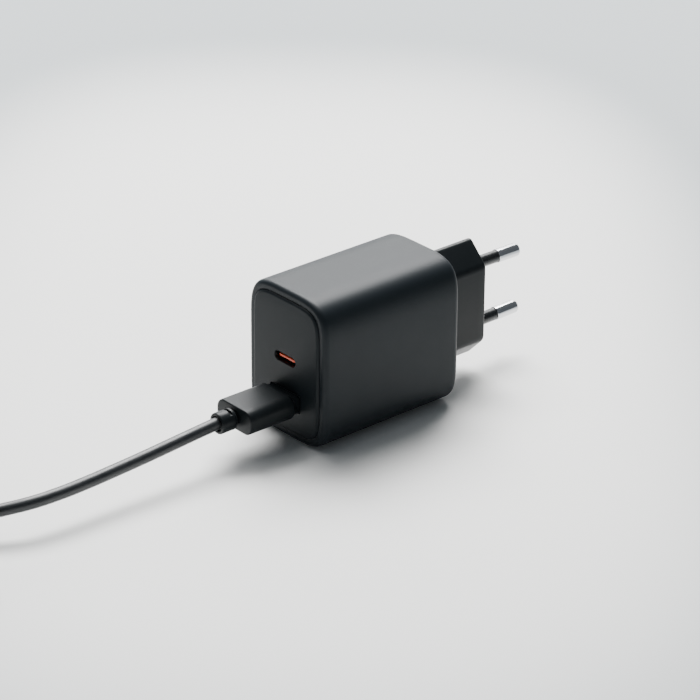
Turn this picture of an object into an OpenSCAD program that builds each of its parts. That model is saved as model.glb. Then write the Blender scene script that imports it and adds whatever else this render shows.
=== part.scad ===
// Two-port wall charger with a flat two-pin plug and a charging lead in its lower port.
// X is the width, +Y points out of the wall plug, +Z is up. The charger stands on its narrow
// bottom side. The origin is under the middle of the charger, without the lead.

/* [Housing] */
// Width of the housing
body_w = 32.8; // [32:0.2:33.6]
// Height of the housing
body_h = 45; // [44.5:0.5:48]
// Depth of the housing, without the plug block
body_l = 50; // [49.5:0.5:54]
// Radius of the long corners
corner_r = 8.5; // [7.5:0.5:9]
// Wall thickness
wall = 1.7; // [1.5:0.1:1.8]
// Rounding round the front edge
front_edge_r = 2; // [1:0.1:2.1]
// Rounding round the rear edge
rear_edge_r = 1.4; // [0.8:0.1:1.5]

/* [Wall plug] */
// Height of the plug block's middle above the bottom
block_z = 22.8; // [22.6:0.1:23]
// How far the plug block stands out behind the housing
block_l = 19.1; // [18.5:0.1:19.5]
// Width of the plug block
block_w = 13.7; // [13.7:0.1:14]
// Height of the plug block over its rounded tips
block_h = 35.9; // [35.5:0.1:36]
// Height of the block's sides between its shoulders
block_side = 23.4; // [23:0.1:23.6]
// Diameter of a plug pin
pin_d = 4; // [4:0.02:4.06]
// Length of a plug pin outside the block
pin_l = 18.5; // [18.5:0.5:19.5]
// Distance between the pins' centres where they leave the block
pin_pitch_base = 18.7; // [18.4:0.1:19.2]
// Distance between the pins' centres at the tips
pin_pitch_tip = 18.1; // [17.5:0.1:18.3]
// Length of the insulating sleeve on a pin
sleeve_l = 10; // [9:0.5:11]

/* [Ports] */
// Height of the lower, wide port's middle
port_a_z = 12.3; // [12:0.1:12.6]
// Height of the upper, small port's middle
port_c_z = 24.3; // [24:0.1:25]

/* [Lead] */
// Width of the lead's plug cover
cover_w = 15; // [14.5:0.1:15.5]
// Height of the lead's plug cover
cover_h = 7.2; // [7:0.1:7.6]
// Length of the lead's plug cover
cover_l = 16.3; // [15.5:0.1:18]
// Diameter of the lead
cord_d = 3.6; // [3.4:0.1:3.7]

/* [Hidden] */

$fn = 48;
front_y = -(body_l + block_l + pin_l) / 2;
rear_y = front_y + body_l;
block_y = rear_y + block_l;
mid_z = body_h / 2;

// Panels let into the two open ends of the shell
recess_side = 1.5;
rim_side = 2.5;
rim_depth = 1.9;
front_t = 2;
panel_stand = 0.75;
rim_y = front_y + panel_stand;
recess_depth = 2.1;
panel_gap = 0.15;
panel_t = 1.8;
panel_w = body_w - 2 * (recess_side + panel_gap);
panel_h = body_h - 2 * (recess_side + panel_gap);
panel_r = corner_r - recess_side - panel_gap;
open_w = body_w - 2 * rim_side;
open_h = body_h - 2 * rim_side;
open_r = corner_r - rim_side;
cavity_w = body_w - 2 * wall;
cavity_h = body_h - 2 * wall;
cavity_r = corner_r - wall;
lip_t = 1.6;
lip_gap = 0.1;
lip_depth = 3;

// Plug block and pins
block_wall = 1.6;
block_end_wall = 2;
block_tip_r = (block_w / 2 + block_side / 2 - block_h / 2) / (sqrt(2) - 1);
block_side_r = 4;
pin_lean = atan((pin_pitch_base - pin_pitch_tip) / 2 / pin_l);
pin_core_d = 3;
pin_inner = 6;
sleeve_d = 3.68;
sleeve_seat = 1.9;
sleeve_gap = 0.1;
core_gap = 0.03;
pin_seat = 4;
flange_d = 5;
flange_t = 1.2;
flange_gap = 0.1;
contact_t = 0.4;
contact_w = 3;
contact_y = 2.6;

// Boards
board_t = 1.2;
port_board_y = front_y + 16;
board_x = -13;
board_face = board_x + board_t;
board_y0 = port_board_y + board_t + 0.1;
board_y1 = rear_y - 2;
board_z0 = 5.6;
board_z1 = body_h - 5.6;
film_gap = 0.2;
film_t = 0.25;

// Ports, to the usual sizes of the two connectors
a_open_w = 12.7;
a_open_h = 5.5;
a_shell_w = 13.1;
a_shell_h = 5.72;
a_shell_t = 0.3;
a_tongue_w = 11.1;
a_tongue_t = 1.75;
a_tongue_z = 0.1;
a_contact_x = [-3.5, -1, 1, 3.5];
a_contact_w = 1;
a_contact_start = 4.1;
a_tongue_start = 3.2;
a_tongue_l = 11;
a_base_w = 12.4;
a_base_h = 5;
a_slot_gap = 0.05;
a_contact_t = 0.2;
c_open_w = 9.1;
c_open_h = 3.32;
c_shell_w = 8.94;
c_shell_h = 3.16;
c_shell_t = 0.25;
c_tongue_w = 6.7;
c_tongue_t = 0.7;
c_contact_pitch = 0.5;
c_contact_n = 12;
c_contact_w = 0.26;
c_contact_t = 0.06;
c_contact_l = 5.6;
c_contact_start = 1.9;
c_tip_start = 1.3;
c_base_start = 8;

// Transformer, in its own directions: x along Y, y along Z, z away from the board
core_w = 17;
core_deep = 7;
core_h = 14;
core_lift = 1.5;
core_bar = 2.6;
core_leg = 2.8;
centre_leg = 4.6;
transformer_y = -15.5;
transformer_z = 30.5;

// Lead: plug in the lower port
plug_w = 12;
plug_h = 4.5;
plug_t = 0.3;
plug_l = 12;
plug_y = front_y + 0.45;
plug_stop_gap = 0.45;
plug_window = [2.5, 2];
plug_window_y = 4.2;
plug_window_x = 3;
plug_block_w = 11.3;
plug_contact_l = 9.3;
plug_contact_t = 0.15;
plug_contact_top = -0.15;
neck_w = 12.4;
neck_h = 5.2;
neck_r = 1;
cover_r = 3.2;
cover_gap = 1.9;
cover_y = front_y - cover_gap - cover_l;
relief_l = 6;
relief_r = 3.1;
relief_core_r = 2.1;
relief_gap = 1.1;
slot_start = 1.9;
slot_l = 0.9;
slot_depth = 0.8;

// Lead: coil, with its turns in two layers, and the tie round it
coil_x = 5;
coil_y = -175.6;
coil_mid_r = 17.8;
coil_low_turns = 4;
coil_high_turns = 3;
tie_t = 0.5;
tie_slack = 0.3;
tie_w = 6;
tie_at = 221;
layer_rise = cord_d * sin(60);
coil_low_in = coil_mid_r - coil_low_turns / 2 * cord_d;
coil_low_out = coil_mid_r + coil_low_turns / 2 * cord_d;
coil_high_in = coil_mid_r - coil_high_turns / 2 * cord_d;
coil_high_out = coil_mid_r + coil_high_turns / 2 * cord_d;
coil_top = tie_t + cord_d + layer_rise;

// Route of the lead from the strain relief to the coil, lying in the port's height at first
RUN = [[0, -68, 12.45], [0, -76, 11.9], [0, -84, 11.3], [0, -94, 10.6], [0, -103, 10.1],
    [0, -112, 9.7], [-0.3, -121, 9.4], [-1.6, -129.3, 9], [-4.8, -136.7, 8.1], [-8.4, -143.6, 6.9],
    [-12.2, -151, 5.4], [-15.8, -159.5, 3.8], [-17.8, -167.5, 2.7], [-18.2, -175.6, 2.3]];
// Lead: its end, an arc that climbs from the coil onto its top, drawn in the far plug's direction
far_turn = -45;
tail_r = 10.41;
tail_x = -3.56;
tail_from = 105;
tail_steps = 8;
tail_rise = 15.6;
far_relief_l = 10;
far_cover_l = 18;
far_cover_w = 11.6;
far_cover_h = 6.4;
far_plug_w = 8.34;
far_plug_h = 2.56;
far_plug_l = 6.65;
far_plug_t = 0.3;
far_contact_t = 0.2;
far_contact_l = 5;
far_relief_r = [2, 2.7];
far_z = coil_top + far_cover_h / 2 + 0.1;

// ---- shared shapes ----

// A rectangle with round corners, centred
module rounded_rect(w, h, r) {
    square([w - 2 * r, h], center = true);
    square([w, h - 2 * r], center = true);
    for (sx = [-1, 1], sz = [-1, 1])
        translate([sx * (w / 2 - r), sz * (h / 2 - r)]) circle(r);
}

// A rounded bar along Y from y0 to y1, its middle at height z
module bar(w, h, r, y0, y1, z) {
    translate([0, y1, z]) rotate([90, 0, 0]) linear_extrude(y1 - y0) rounded_rect(w, h, r);
}

// Puts a child that stands on its own z = 0 on the main board: x along Y, y along Z
module on_board(y, z) {
    translate([board_face, y, z]) rotate([90, 0, 90]) children();
}

// A box standing on z = 0, centred in x and y
module block(w, d, h) {
    translate([-w / 2, -d / 2, 0]) cube([w, d, h]);
}

// Puts a child drawn along +z on a pin's axis, z = 0 at the face of the plug block
module on_pin(side) {
    translate([0, block_y, block_z + side * pin_pitch_base / 2])
        rotate([-side * pin_lean - 90, 0, 0]) children();
}

// A chip with legs along its two long sides
module chip(l, w, h, legs, pitch) {
    translate([0, 0, 0.1]) block(l, w, h);
    for (i = [0 : legs - 1], s = [-1, 1])
        translate([(i - (legs - 1) / 2) * pitch, s * (w / 2 + 0.4), 0]) block(0.4, 0.9, 0.3);
}

// A can capacitor with its rolled groove and crimped edge
module can_capacitor(d, h) {
    rotate_extrude() polygon([[0, 0], [d / 2 - 0.4, 0], [d / 2, 0.4], [d / 2, 1.6],
        [d / 2 - 0.4, 2], [d / 2 - 0.4, 2.3], [d / 2, 2.7], [d / 2, h - 0.5],
        [d / 2 - 0.5, h], [0, h]]);
}

// ---- housing and wall plug ----

module shell_corner(sx, sz) {
    translate([sx * (body_w / 2 - corner_r), rim_y, mid_z + sz * (body_h / 2 - corner_r)])
        rotate([-90, 0, 0]) {
            translate([0, 0, front_edge_r]) rotate_extrude()
                translate([corner_r - front_edge_r, 0]) circle(front_edge_r, $fn = 24);
            translate([0, 0, body_l - panel_stand - rear_edge_r]) rotate_extrude()
                translate([corner_r - rear_edge_r, 0]) circle(rear_edge_r, $fn = 24);
        }
}

module housing_shell() color("#26282a") difference() {
    hull() for (sx = [-1, 1], sz = [-1, 1]) shell_corner(sx, sz);
    bar(cavity_w, cavity_h, cavity_r, front_y + rim_depth, rear_y + 1, mid_z);
    bar(open_w, open_h, open_r, front_y, front_y + rim_depth + 1, mid_z);
    bar(body_w - 2 * recess_side, body_h - 2 * recess_side, corner_r - recess_side,
        rear_y - recess_depth, rear_y + 1, mid_z);
}

// The lip that holds a panel in the shell's open end
module panel_lip(y0, y1) difference() {
    bar(cavity_w - 2 * lip_gap, cavity_h - 2 * lip_gap, cavity_r - lip_gap, y0, y1, mid_z);
    bar(cavity_w - 2 * (lip_gap + lip_t), cavity_h - 2 * (lip_gap + lip_t),
        cavity_r - lip_gap - lip_t, y0 - 1, y1 + 1, mid_z);
}

module front_panel() color("#2a2c2e") {
    back = front_y + front_t;
    difference() {
        bar(open_w - 2 * panel_gap, open_h - 2 * panel_gap, open_r - panel_gap, front_y, back, mid_z);
        bar(a_open_w, a_open_h, 0.6, front_y - 1, back + 1, port_a_z);
        bar(c_open_w, c_open_h, c_open_h / 2 - 0.01, front_y - 1, back + 1, port_c_z);
    }
    panel_lip(back, back + lip_depth);
}

// Outline of the plug block: straight sides, 45 degree shoulders, and a round on every corner
module block_outline(inset) {
    w = block_w / 2 - inset - block_side_r;
    side = block_side / 2 - (inset + block_side_r) * (sqrt(2) - 1);
    hull() {
        for (sx = [-1, 1], sz = [-1, 1]) translate([sx * w, sz * side]) circle(block_side_r);
        for (sz = [-1, 1]) translate([0, sz * (block_h / 2 - inset - block_tip_r)]) circle(block_tip_r);
    }
}

module block_prism(inset, y0, y1) {
    translate([0, y1, block_z]) rotate([90, 0, 0]) linear_extrude(y1 - y0) block_outline(inset);
}

module plug_block() color("#1e2022") {
    difference() {
        union() {
            bar(panel_w, panel_h, panel_r, rear_y - panel_t, rear_y, mid_z);
            block_prism(0, rear_y - 1, block_y);
        }
        block_prism(block_wall, rear_y - panel_t - 1, block_y - block_end_wall);
        for (side = [-1, 1]) on_pin(side) {
            translate([0, 0, -sleeve_seat]) cylinder(d = sleeve_d + 2 * sleeve_gap, h = sleeve_seat + 1);
            translate([0, 0, -pin_seat]) cylinder(d = pin_core_d + 2 * core_gap, h = pin_seat + 1);
        }
    }
}

// A turned pin: round tip, thinner under the sleeve, and a flange inside the block
module pin(side) on_pin(side) {
    translate([0, 0, pin_l - pin_d / 2]) sphere(d = pin_d);
    translate([0, 0, sleeve_l]) cylinder(d = pin_d, h = pin_l - sleeve_l - pin_d / 2);
    translate([0, 0, -pin_inner]) cylinder(d = pin_core_d, h = pin_inner + sleeve_l + 1);
    translate([0, 0, -block_end_wall - flange_gap - flange_t]) cylinder(d = flange_d, h = flange_t);
}
module plug_pin_upper() color("#c9cbce") pin(1);
module plug_pin_lower() color("#c9cbce") pin(-1);

module pin_sleeve(side) on_pin(side) difference() {
    translate([0, 0, core_gap - sleeve_seat]) cylinder(d = sleeve_d, h = sleeve_l + sleeve_seat - core_gap);
    translate([0, 0, -sleeve_seat - 1])
        cylinder(d = pin_core_d + core_gap, h = sleeve_l + sleeve_seat + 2);
}
module pin_sleeve_upper() color("#202224") pin_sleeve(1);
module pin_sleeve_lower() color("#202224") pin_sleeve(-1);

// A bent spring strip from the main board to the inner end of a pin
module pin_contact(side) {
    z = block_z + side * (pin_pitch_base / 2 + 0.1);
    x = -pin_core_d / 2 - 2 * core_gap - contact_t;
    translate([board_face, contact_y, z - contact_w / 2])
        cube([x - board_face + contact_t, contact_t, contact_w]);
    translate([x, contact_y, z - contact_w / 2])
        cube([contact_t, block_y - pin_seat - contact_y, contact_w]);
}
module pin_contact_upper() color("#c58b4e") pin_contact(1);
module pin_contact_lower() color("#c58b4e") pin_contact(-1);

// ---- boards ----

module main_board() color("#2f6b3f")
    translate([board_x, board_y0, board_z0])
        cube([board_t, board_y1 - board_y0, board_z1 - board_z0]);

module port_board() color("#2f6b3f")
    bar(cavity_w - 1, cavity_h - 1, cavity_r - 0.5, port_board_y, port_board_y + board_t, mid_z);

// The row of angled pins that joins the two boards
module board_link() color("#1b1b1b") {
    link_l = 12;
    pins = 5;
    translate([board_face, board_y0, 8]) cube([2.4, 2.2, link_l]);
    for (i = [0 : pins - 1])
        translate([board_face + 1, board_y0 - 0.1, 9.2 + i * 2.4]) cube([0.6, 0.2, 0.6]);
}

// Five columns and four rows of chips on the back of the main board
module chip_resistors() color("#1a1a1c") {
    size = [0.5, 1.6, 0.8];
    for (i = [0 : 4], k = [0 : 3])
        translate([board_x - size[0], board_y0 + 4.5 + i * 5, board_z0 + 4.4 + k * 8]) cube(size);
}

// ---- ports ----

module usb_a_shell() color("#b9bcc0") difference() {
    y0 = front_y + front_t + 0.06;
    bar(a_shell_w, a_shell_h, 0.7, y0, port_board_y, port_a_z);
    bar(a_shell_w - 2 * a_shell_t, a_shell_h - 2 * a_shell_t, 0.4, y0 - 1, port_board_y + 1, port_a_z);
}

module usb_a_insulator() color("#1a1a1a") difference() {
    union() {
        translate([-a_base_w / 2, plug_y + plug_l + plug_stop_gap, port_a_z - a_base_h / 2])
            cube([a_base_w, port_board_y - plug_y - plug_l - plug_stop_gap, a_base_h]);
        translate([-a_tongue_w / 2, front_y + a_tongue_start, port_a_z + a_tongue_z])
            cube([a_tongue_w, a_tongue_l, a_tongue_t]);
    }
    for (x = a_contact_x)
        translate([x - a_contact_w / 2 - a_slot_gap, front_y + a_contact_start - a_slot_gap,
            port_a_z + a_tongue_z - 1])
            cube([a_contact_w + 2 * a_slot_gap, port_board_y - front_y - 3, 1 + a_contact_t]);
}

module usb_a_contacts() color("#d8b35a")
    for (x = a_contact_x)
        translate([x - a_contact_w / 2, front_y + a_contact_start, port_a_z + a_tongue_z])
            cube([a_contact_w, port_board_y - front_y - a_contact_start, a_contact_t]);

module usb_c_shell() color("#b9bcc0") difference() {
    y0 = front_y + 0.25;
    bar(c_shell_w, c_shell_h, c_shell_h / 2 - 0.01, y0, port_board_y, port_c_z);
    bar(c_shell_w - 2 * c_shell_t, c_shell_h - 2 * c_shell_t, c_shell_h / 2 - c_shell_t - 0.01,
        y0 - 1, port_board_y + 1, port_c_z);
}

module usb_c_tongue() color("#e2562c") {
    tip = front_y + c_tip_start;
    base = front_y + c_base_start;
    translate([-c_tongue_w / 2, tip, port_c_z - c_tongue_t / 2]) cube([c_tongue_w, base - tip + 1, c_tongue_t]);
    bar(c_shell_w - 2 * c_shell_t - 0.06, c_shell_h - 2 * c_shell_t - 0.06,
        c_shell_h / 2 - c_shell_t - 0.05, base, port_board_y, port_c_z);
}

module usb_c_contacts() color("#d8b35a")
    for (i = [0 : c_contact_n - 1], s = [-1, 1])
        translate([(i - (c_contact_n - 1) / 2) * c_contact_pitch - c_contact_w / 2,
            front_y + c_contact_start, port_c_z + s * (c_tongue_t + c_contact_t) / 2 - c_contact_t / 2])
            cube([c_contact_w, c_contact_l, c_contact_t]);

// ---- electronics ----

// Frame of ferrite round the winding, with a centre leg through it
module transformer_core() color("#3a3a3d") on_board(transformer_y, transformer_z) {
    window = (core_w - 2 * core_leg - centre_leg) / 2;
    difference() {
        translate([0, 0, core_lift]) block(core_w, core_deep, core_h);
        for (s = [-1, 1])
            translate([s * (centre_leg + window) / 2, 0, core_lift + core_bar])
                block(window, core_deep + 2, core_h - 2 * core_bar);
    }
}

module transformer_bobbin() color("#2b2420") on_board(transformer_y, transformer_z) {
    z0 = core_lift + core_bar + 0.1;
    spool = core_h - 2 * core_bar - 0.2;
    difference() {
        union() {
            translate([0, 0, z0]) block(centre_leg + 1, core_deep + 1, spool);
            translate([0, 0, z0]) block(10.9, 13.8, 0.8);
            translate([0, 0, z0 + spool - 0.8]) block(10.9, 13.8, 0.8);
            for (s = [-1, 1]) translate([0, s * 7.2, 0]) block(14, 2.6, z0 + 0.8);
        }
        translate([0, 0, z0 - 1]) block(centre_leg + 0.2, core_deep + 0.2, spool + 2);
    }
}

module transformer_winding() color("#e2b93a") on_board(transformer_y, transformer_z) {
    z0 = core_lift + core_bar + 0.95;
    difference() {
        translate([0, 0, z0]) linear_extrude(core_h - 2 * core_bar - 1.9) rounded_rect(10.6, 13.4, 1.5);
        translate([0, 0, z0 - 1]) block(centre_leg + 1.1, core_deep + 1.1, core_h);
    }
}

module input_capacitor_upper() color("#20252b") on_board(-1.6, 35) can_capacitor(8, 20);
module input_capacitor_lower() color("#20252b") on_board(-1.6, 26.8) can_capacitor(8, 20);
module output_capacitor_rear() color("#8f9ba8") on_board(-14, 9.4) can_capacitor(6.3, 11);
module output_capacitor_front() color("#8f9ba8") on_board(-20.6, 9.4) can_capacitor(6.3, 11);
module x_capacitor() color("#d9a21b") on_board(-1.4, 8.8) block(10, 5.6, 11);
module y_capacitor() color("#2f6fb5") on_board(-14, 15.2)
    translate([0, 1.5, 4]) rotate([90, 0, 0]) cylinder(d = 6.4, h = 3);

module choke_core() color("#4a4f4a") on_board(-2.3, 17.3) translate([0, 0, 2.4]) difference() {
    cylinder(r = 3.6, h = 3);
    translate([0, 0, -1]) cylinder(r = 1.6, h = 5);
}

// Two groups of turns on the ring
module choke_winding() color("#b0662c") on_board(-2.3, 17.3)
    for (side = [0, 180], i = [-2 : 2])
        rotate([0, 0, side + i * 26]) translate([2.6, 0, 3.9]) rotate([90, 0, 0])
            rotate_extrude($fn = 32) translate([2.05, 0]) circle(0.2, $fn = 16);

module fuse() color("#d8d8d2") on_board(-8.9, 6.6)
    translate([0, 0, 2]) rotate([-90, 0, 0]) cylinder(d = 3.6, h = 8.8);
module varistor() color("#2c6f8f") on_board(-8.9, 18.9)
    translate([-1.5, 0, 3.4]) rotate([0, 90, 0]) cylinder(d = 5.4, h = 3);

module bridge_rectifier() color("#1c1c1e") on_board(-14, 19.6) chip(4.7, 2.4, 1.5, 2, 2.5);
module switch_controller() color("#1c1c1e") on_board(-20.6, 19.6) chip(4.9, 2.4, 1.5, 4, 1.27);
module optocoupler() color("#ededeb") on_board(-20.7, 15.2) chip(6, 3, 3, 2, 2.54);

// The two parts on the back of the port board
module port_controller() color("#1c1c1e")
    translate([4, port_board_y + board_t, 18]) cube([4, 0.9, 4]);
module output_inductor() color("#55585c")
    translate([5, port_board_y + board_t, 24]) cube([6.6, 3, 6.6]);

module thermal_pad() color("#b9c4cc")
    on_board(transformer_y, transformer_z) translate([0, 0, core_lift + core_h]) block(12, 6.6, 1.5);
module heat_spreader() color("#c7cacd")
    on_board(transformer_y, transformer_z - 4)
        translate([0, 0, core_lift + core_h + 1.5]) block(16, 24, 0.8);

// Clear sheet between the electronics and the shell
module insulating_film() color("#e9e7dc") difference() {
    bar(cavity_w - 2 * film_gap, cavity_h - 2 * film_gap, cavity_r - film_gap,
        board_y0, rear_y - 2.2, mid_z);
    bar(cavity_w - 2 * (film_gap + film_t), cavity_h - 2 * (film_gap + film_t),
        cavity_r - film_gap - film_t, board_y0 - 1, rear_y, mid_z);
}

// ---- lead: the plug in the lower port ----

module lead_plug_shell() color("#b9bcc0") difference() {
    bar(plug_w, plug_h, 0.5, plug_y, plug_y + plug_l, port_a_z);
    bar(plug_w - 2 * plug_t, plug_h - 2 * plug_t, 0.2, plug_y - 1, plug_y + plug_l + 1, port_a_z);
    for (x = [-plug_window_x, plug_window_x])
        translate([x - plug_window[0] / 2, plug_y + plug_window_y, port_a_z - plug_h])
            cube([plug_window[0], plug_window[1], 2 * plug_h]);
}

module lead_plug_insulator() color("#e9e9e6") difference() {
    low = port_a_z - plug_h / 2 + plug_t + core_gap;
    translate([-plug_block_w / 2, plug_y, low])
        cube([plug_block_w, plug_l - 0.2, port_a_z + plug_contact_top + a_slot_gap - low]);
    for (x = a_contact_x)
        translate([x - a_contact_w / 2 - a_slot_gap, plug_y + 1,
            port_a_z + plug_contact_top - plug_contact_t])
            cube([a_contact_w + 2 * a_slot_gap, plug_contact_l + 2 * a_slot_gap + 0.1, 1]);
}

module lead_plug_contacts() color("#d8b35a")
    for (x = a_contact_x)
        translate([x - a_contact_w / 2, plug_y + 1.1, port_a_z + plug_contact_top - plug_contact_t])
            cube([a_contact_w, plug_contact_l, plug_contact_t]);

module lead_plug_cover() color("#1f2123") {
    bar(cover_w, cover_h, cover_r, cover_y, cover_y + cover_l, port_a_z);
    bar(neck_w, neck_h, neck_r, cover_y + cover_l, plug_y, port_a_z);
}

// One round collar behind a deep groove, with a slot above and a slot below that let it bend
module lead_strain_relief() color("#1f2123")
    translate([0, cover_y, port_a_z]) rotate([90, 0, 0]) difference() {
        union() {
            cylinder(r = relief_core_r, h = relief_l);
            translate([0, 0, relief_gap]) cylinder(r = relief_r, h = relief_l - relief_gap);
        }
        for (s = [-1, 1])
            translate([-relief_r, s > 0 ? relief_r - slot_depth : -relief_r - 1, slot_start])
                cube([2 * relief_r, slot_depth + 1, slot_l]);
    }

// ---- lead: the cord ----

// Direction of the route at point i
function heading(p, i) = let (a = p[max(0, i - 1)], b = p[min(len(p) - 1, i + 1)]) (b - a) / norm(b - a);
// A smooth point between p[i] and p[i + 1]
function blend(p, i, t) = let (a = p[max(0, i - 1)], b = p[i], c = p[i + 1], d = p[min(len(p) - 1, i + 2)])
    0.5 * (2 * b + (c - a) * t + (2 * a - 5 * b + 4 * c - d) * t * t + (3 * b - a - 3 * c + d) * t * t * t);
// The route with one more point between each two
function smooth(p) = [for (i = [0 : len(p) - 2]) each [p[i], blend(p, i, 0.5)], p[len(p) - 1]];
function ring(c, dir, sides, r) = let (u = cross(dir, [0, 0, 1]), u1 = u / norm(u), v = cross(u1, dir))
    [for (k = [0 : sides - 1]) c + r * (cos(k * 360 / sides) * u1 + sin(k * 360 / sides) * v)];

// A tube of one closed skin along a route
module tube(route, d, sides) {
    p = smooth(route);
    n = len(p);
    points = [for (i = [0 : n - 1]) each ring(p[i], heading(p, i), sides, d / 2)];
    walls = [for (i = [0 : n - 2], k = [0 : sides - 1]) let (m = (k + 1) % sides)
        each [[i * sides + k, (i + 1) * sides + k, (i + 1) * sides + m],
              [i * sides + k, (i + 1) * sides + m, i * sides + m]]];
    first = [for (k = [0 : sides - 1]) k];
    last = [for (k = [sides - 1 : -1 : 0]) (n - 1) * sides + k];
    polyhedron(points, concat(walls, [first, last]), convexity = 8);
}

// A point of the lead's end, at this angle round the arc
function tail_point(a) = let (
        length = (270 - tail_from) * PI / 180 * tail_r,
        t = (tail_rise + (a - tail_from) * PI / 180 * tail_r) / (tail_rise + length),
        low = tie_t + cord_d / 2 + layer_rise,
        x = tail_x + tail_r * cos(a),
        y = tail_r + tail_r * sin(a))
    [coil_x + x * cos(far_turn) - y * sin(far_turn), coil_y + x * sin(far_turn) + y * cos(far_turn),
        low + (far_z - low) * pow(sin(90 * t), 1.3)];
TAIL = [for (i = [0 : tail_steps]) tail_point(tail_from + (270 - tail_from) * i / tail_steps)];

module cord_run() color("#1b1c1e") tube(RUN, cord_d, 8);
module cord_tail() color("#1b1c1e") tube(TAIL, cord_d, 8);

// Outer shape of the wound turns, four below and three above
module cord_coil() color("#1b1c1e") translate([coil_x, coil_y, 0]) rotate_extrude($fn = 64)
    polygon([[coil_low_in, tie_t], [coil_low_out, tie_t], [coil_low_out, tie_t + cord_d],
        [coil_high_out, coil_top], [coil_high_in, coil_top], [coil_low_in, tie_t + cord_d]]);

// A strap round the bundle of turns
module cord_tie() color("#111213") {
    span = tie_w / coil_mid_r * 180 / PI;
    translate([coil_x, coil_y, 0]) rotate([0, 0, tie_at]) rotate_extrude(angle = span, $fn = 64)
        difference() {
            polygon([[coil_low_in - tie_t, 0], [coil_low_out + tie_t, 0],
                [coil_low_out + tie_t, tie_t + cord_d + tie_slack], [coil_high_out + tie_t, coil_top + tie_t],
                [coil_high_in - tie_t, coil_top + tie_t], [coil_low_in - tie_t, tie_t + cord_d + tie_slack]]);
            polygon([[coil_low_in, tie_t], [coil_low_out, tie_t], [coil_low_out, tie_t + cord_d],
                [coil_high_out, coil_top], [coil_high_in, coil_top], [coil_low_in, tie_t + cord_d]]);
        }
}

// ---- lead: the small plug on the far end ----

// Puts a child drawn along +Y, centred on z = 0, at the end of the tail
module at_far_end(along) {
    translate([coil_x, coil_y, far_z]) rotate([0, 0, far_turn - 90])
        translate([0, tail_x + along, 0]) children();
}

module far_strain_relief() color("#1f2123") at_far_end(0) rotate([-90, 0, 0])
    rotate_extrude() polygon([[0, 0], [far_relief_r[0], 0], [far_relief_r[1], far_relief_l], [0, far_relief_l]]);

module far_plug_cover() color("#1f2123") at_far_end(far_relief_l)
    translate([0, far_cover_l, 0]) rotate([90, 0, 0]) linear_extrude(far_cover_l)
        rounded_rect(far_cover_w, far_cover_h, 2.6);

module far_plug_shell() color("#b9bcc0") at_far_end(far_relief_l + far_cover_l)
    translate([0, far_plug_l, 0]) rotate([90, 0, 0]) difference() {
        linear_extrude(far_plug_l) rounded_rect(far_plug_w, far_plug_h, far_plug_h / 2 - 0.01);
        translate([0, 0, -1]) linear_extrude(far_plug_l)
            rounded_rect(far_plug_w - 2 * far_plug_t, far_plug_h - 2 * far_plug_t,
                far_plug_h / 2 - far_plug_t - 0.01);
    }

module far_plug_contacts() color("#d8b35a") at_far_end(far_relief_l + far_cover_l)
    for (i = [0 : c_contact_n - 1], s = [-1, 1])
        translate([(i - (c_contact_n - 1) / 2) * c_contact_pitch - c_contact_w / 2, 1,
            s * (far_plug_h / 2 - far_plug_t - far_contact_t / 2) - far_contact_t / 2])
            cube([c_contact_w, far_contact_l, far_contact_t]);

housing_shell();
front_panel();
plug_block();
plug_pin_upper();
plug_pin_lower();
pin_sleeve_upper();
pin_sleeve_lower();
pin_contact_upper();
pin_contact_lower();
main_board();
port_board();
board_link();
usb_a_shell();
usb_a_insulator();
usb_a_contacts();
usb_c_shell();
usb_c_tongue();
usb_c_contacts();
transformer_core();
transformer_bobbin();
transformer_winding();
input_capacitor_upper();
input_capacitor_lower();
output_capacitor_rear();
output_capacitor_front();
x_capacitor();
y_capacitor();
choke_core();
choke_winding();
fuse();
varistor();
bridge_rectifier();
switch_controller();
optocoupler();
port_controller();
output_inductor();
chip_resistors();
thermal_pad();
heat_spreader();
insulating_film();
lead_plug_shell();
lead_plug_insulator();
lead_plug_contacts();
lead_plug_cover();
lead_strain_relief();
cord_run();
cord_coil();
cord_tie();
cord_tail();
far_strain_relief();
far_plug_cover();
far_plug_shell();
far_plug_contacts();
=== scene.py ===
# %% [markdown]
# # A wall charger with its lead
#
# The charger is a black moulded box that stands on its narrow side: two ports in front, a flat
# two-pin plug behind, and a lead in the lower port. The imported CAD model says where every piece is.
# This file gives each piece its final shape and finish. Pieces whose CAD shape is already right,
# such as the boards and capacitors inside, only get a material.

# %% Load the frame
import math
import bpy
import bmesh
from mathutils import Matrix, Quaternion, Vector


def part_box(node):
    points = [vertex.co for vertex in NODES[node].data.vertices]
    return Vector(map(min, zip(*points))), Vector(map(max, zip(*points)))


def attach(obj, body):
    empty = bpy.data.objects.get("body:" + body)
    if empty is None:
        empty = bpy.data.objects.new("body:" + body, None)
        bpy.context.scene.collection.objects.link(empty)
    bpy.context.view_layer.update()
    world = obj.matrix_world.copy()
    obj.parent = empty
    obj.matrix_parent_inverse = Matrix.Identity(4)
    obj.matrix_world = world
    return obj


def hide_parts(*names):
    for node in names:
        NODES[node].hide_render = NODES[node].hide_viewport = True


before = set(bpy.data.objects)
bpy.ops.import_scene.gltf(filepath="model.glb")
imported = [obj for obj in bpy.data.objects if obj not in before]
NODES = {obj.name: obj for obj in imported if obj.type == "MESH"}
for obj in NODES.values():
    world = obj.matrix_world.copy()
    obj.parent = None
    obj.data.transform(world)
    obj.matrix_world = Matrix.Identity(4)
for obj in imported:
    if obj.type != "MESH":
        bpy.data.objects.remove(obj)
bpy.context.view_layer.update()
MM = 0.001


def mm_box(name):
    """A node's lowest and highest corner, in millimetres."""
    low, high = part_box(name)
    return low / MM, high / MM


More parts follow.
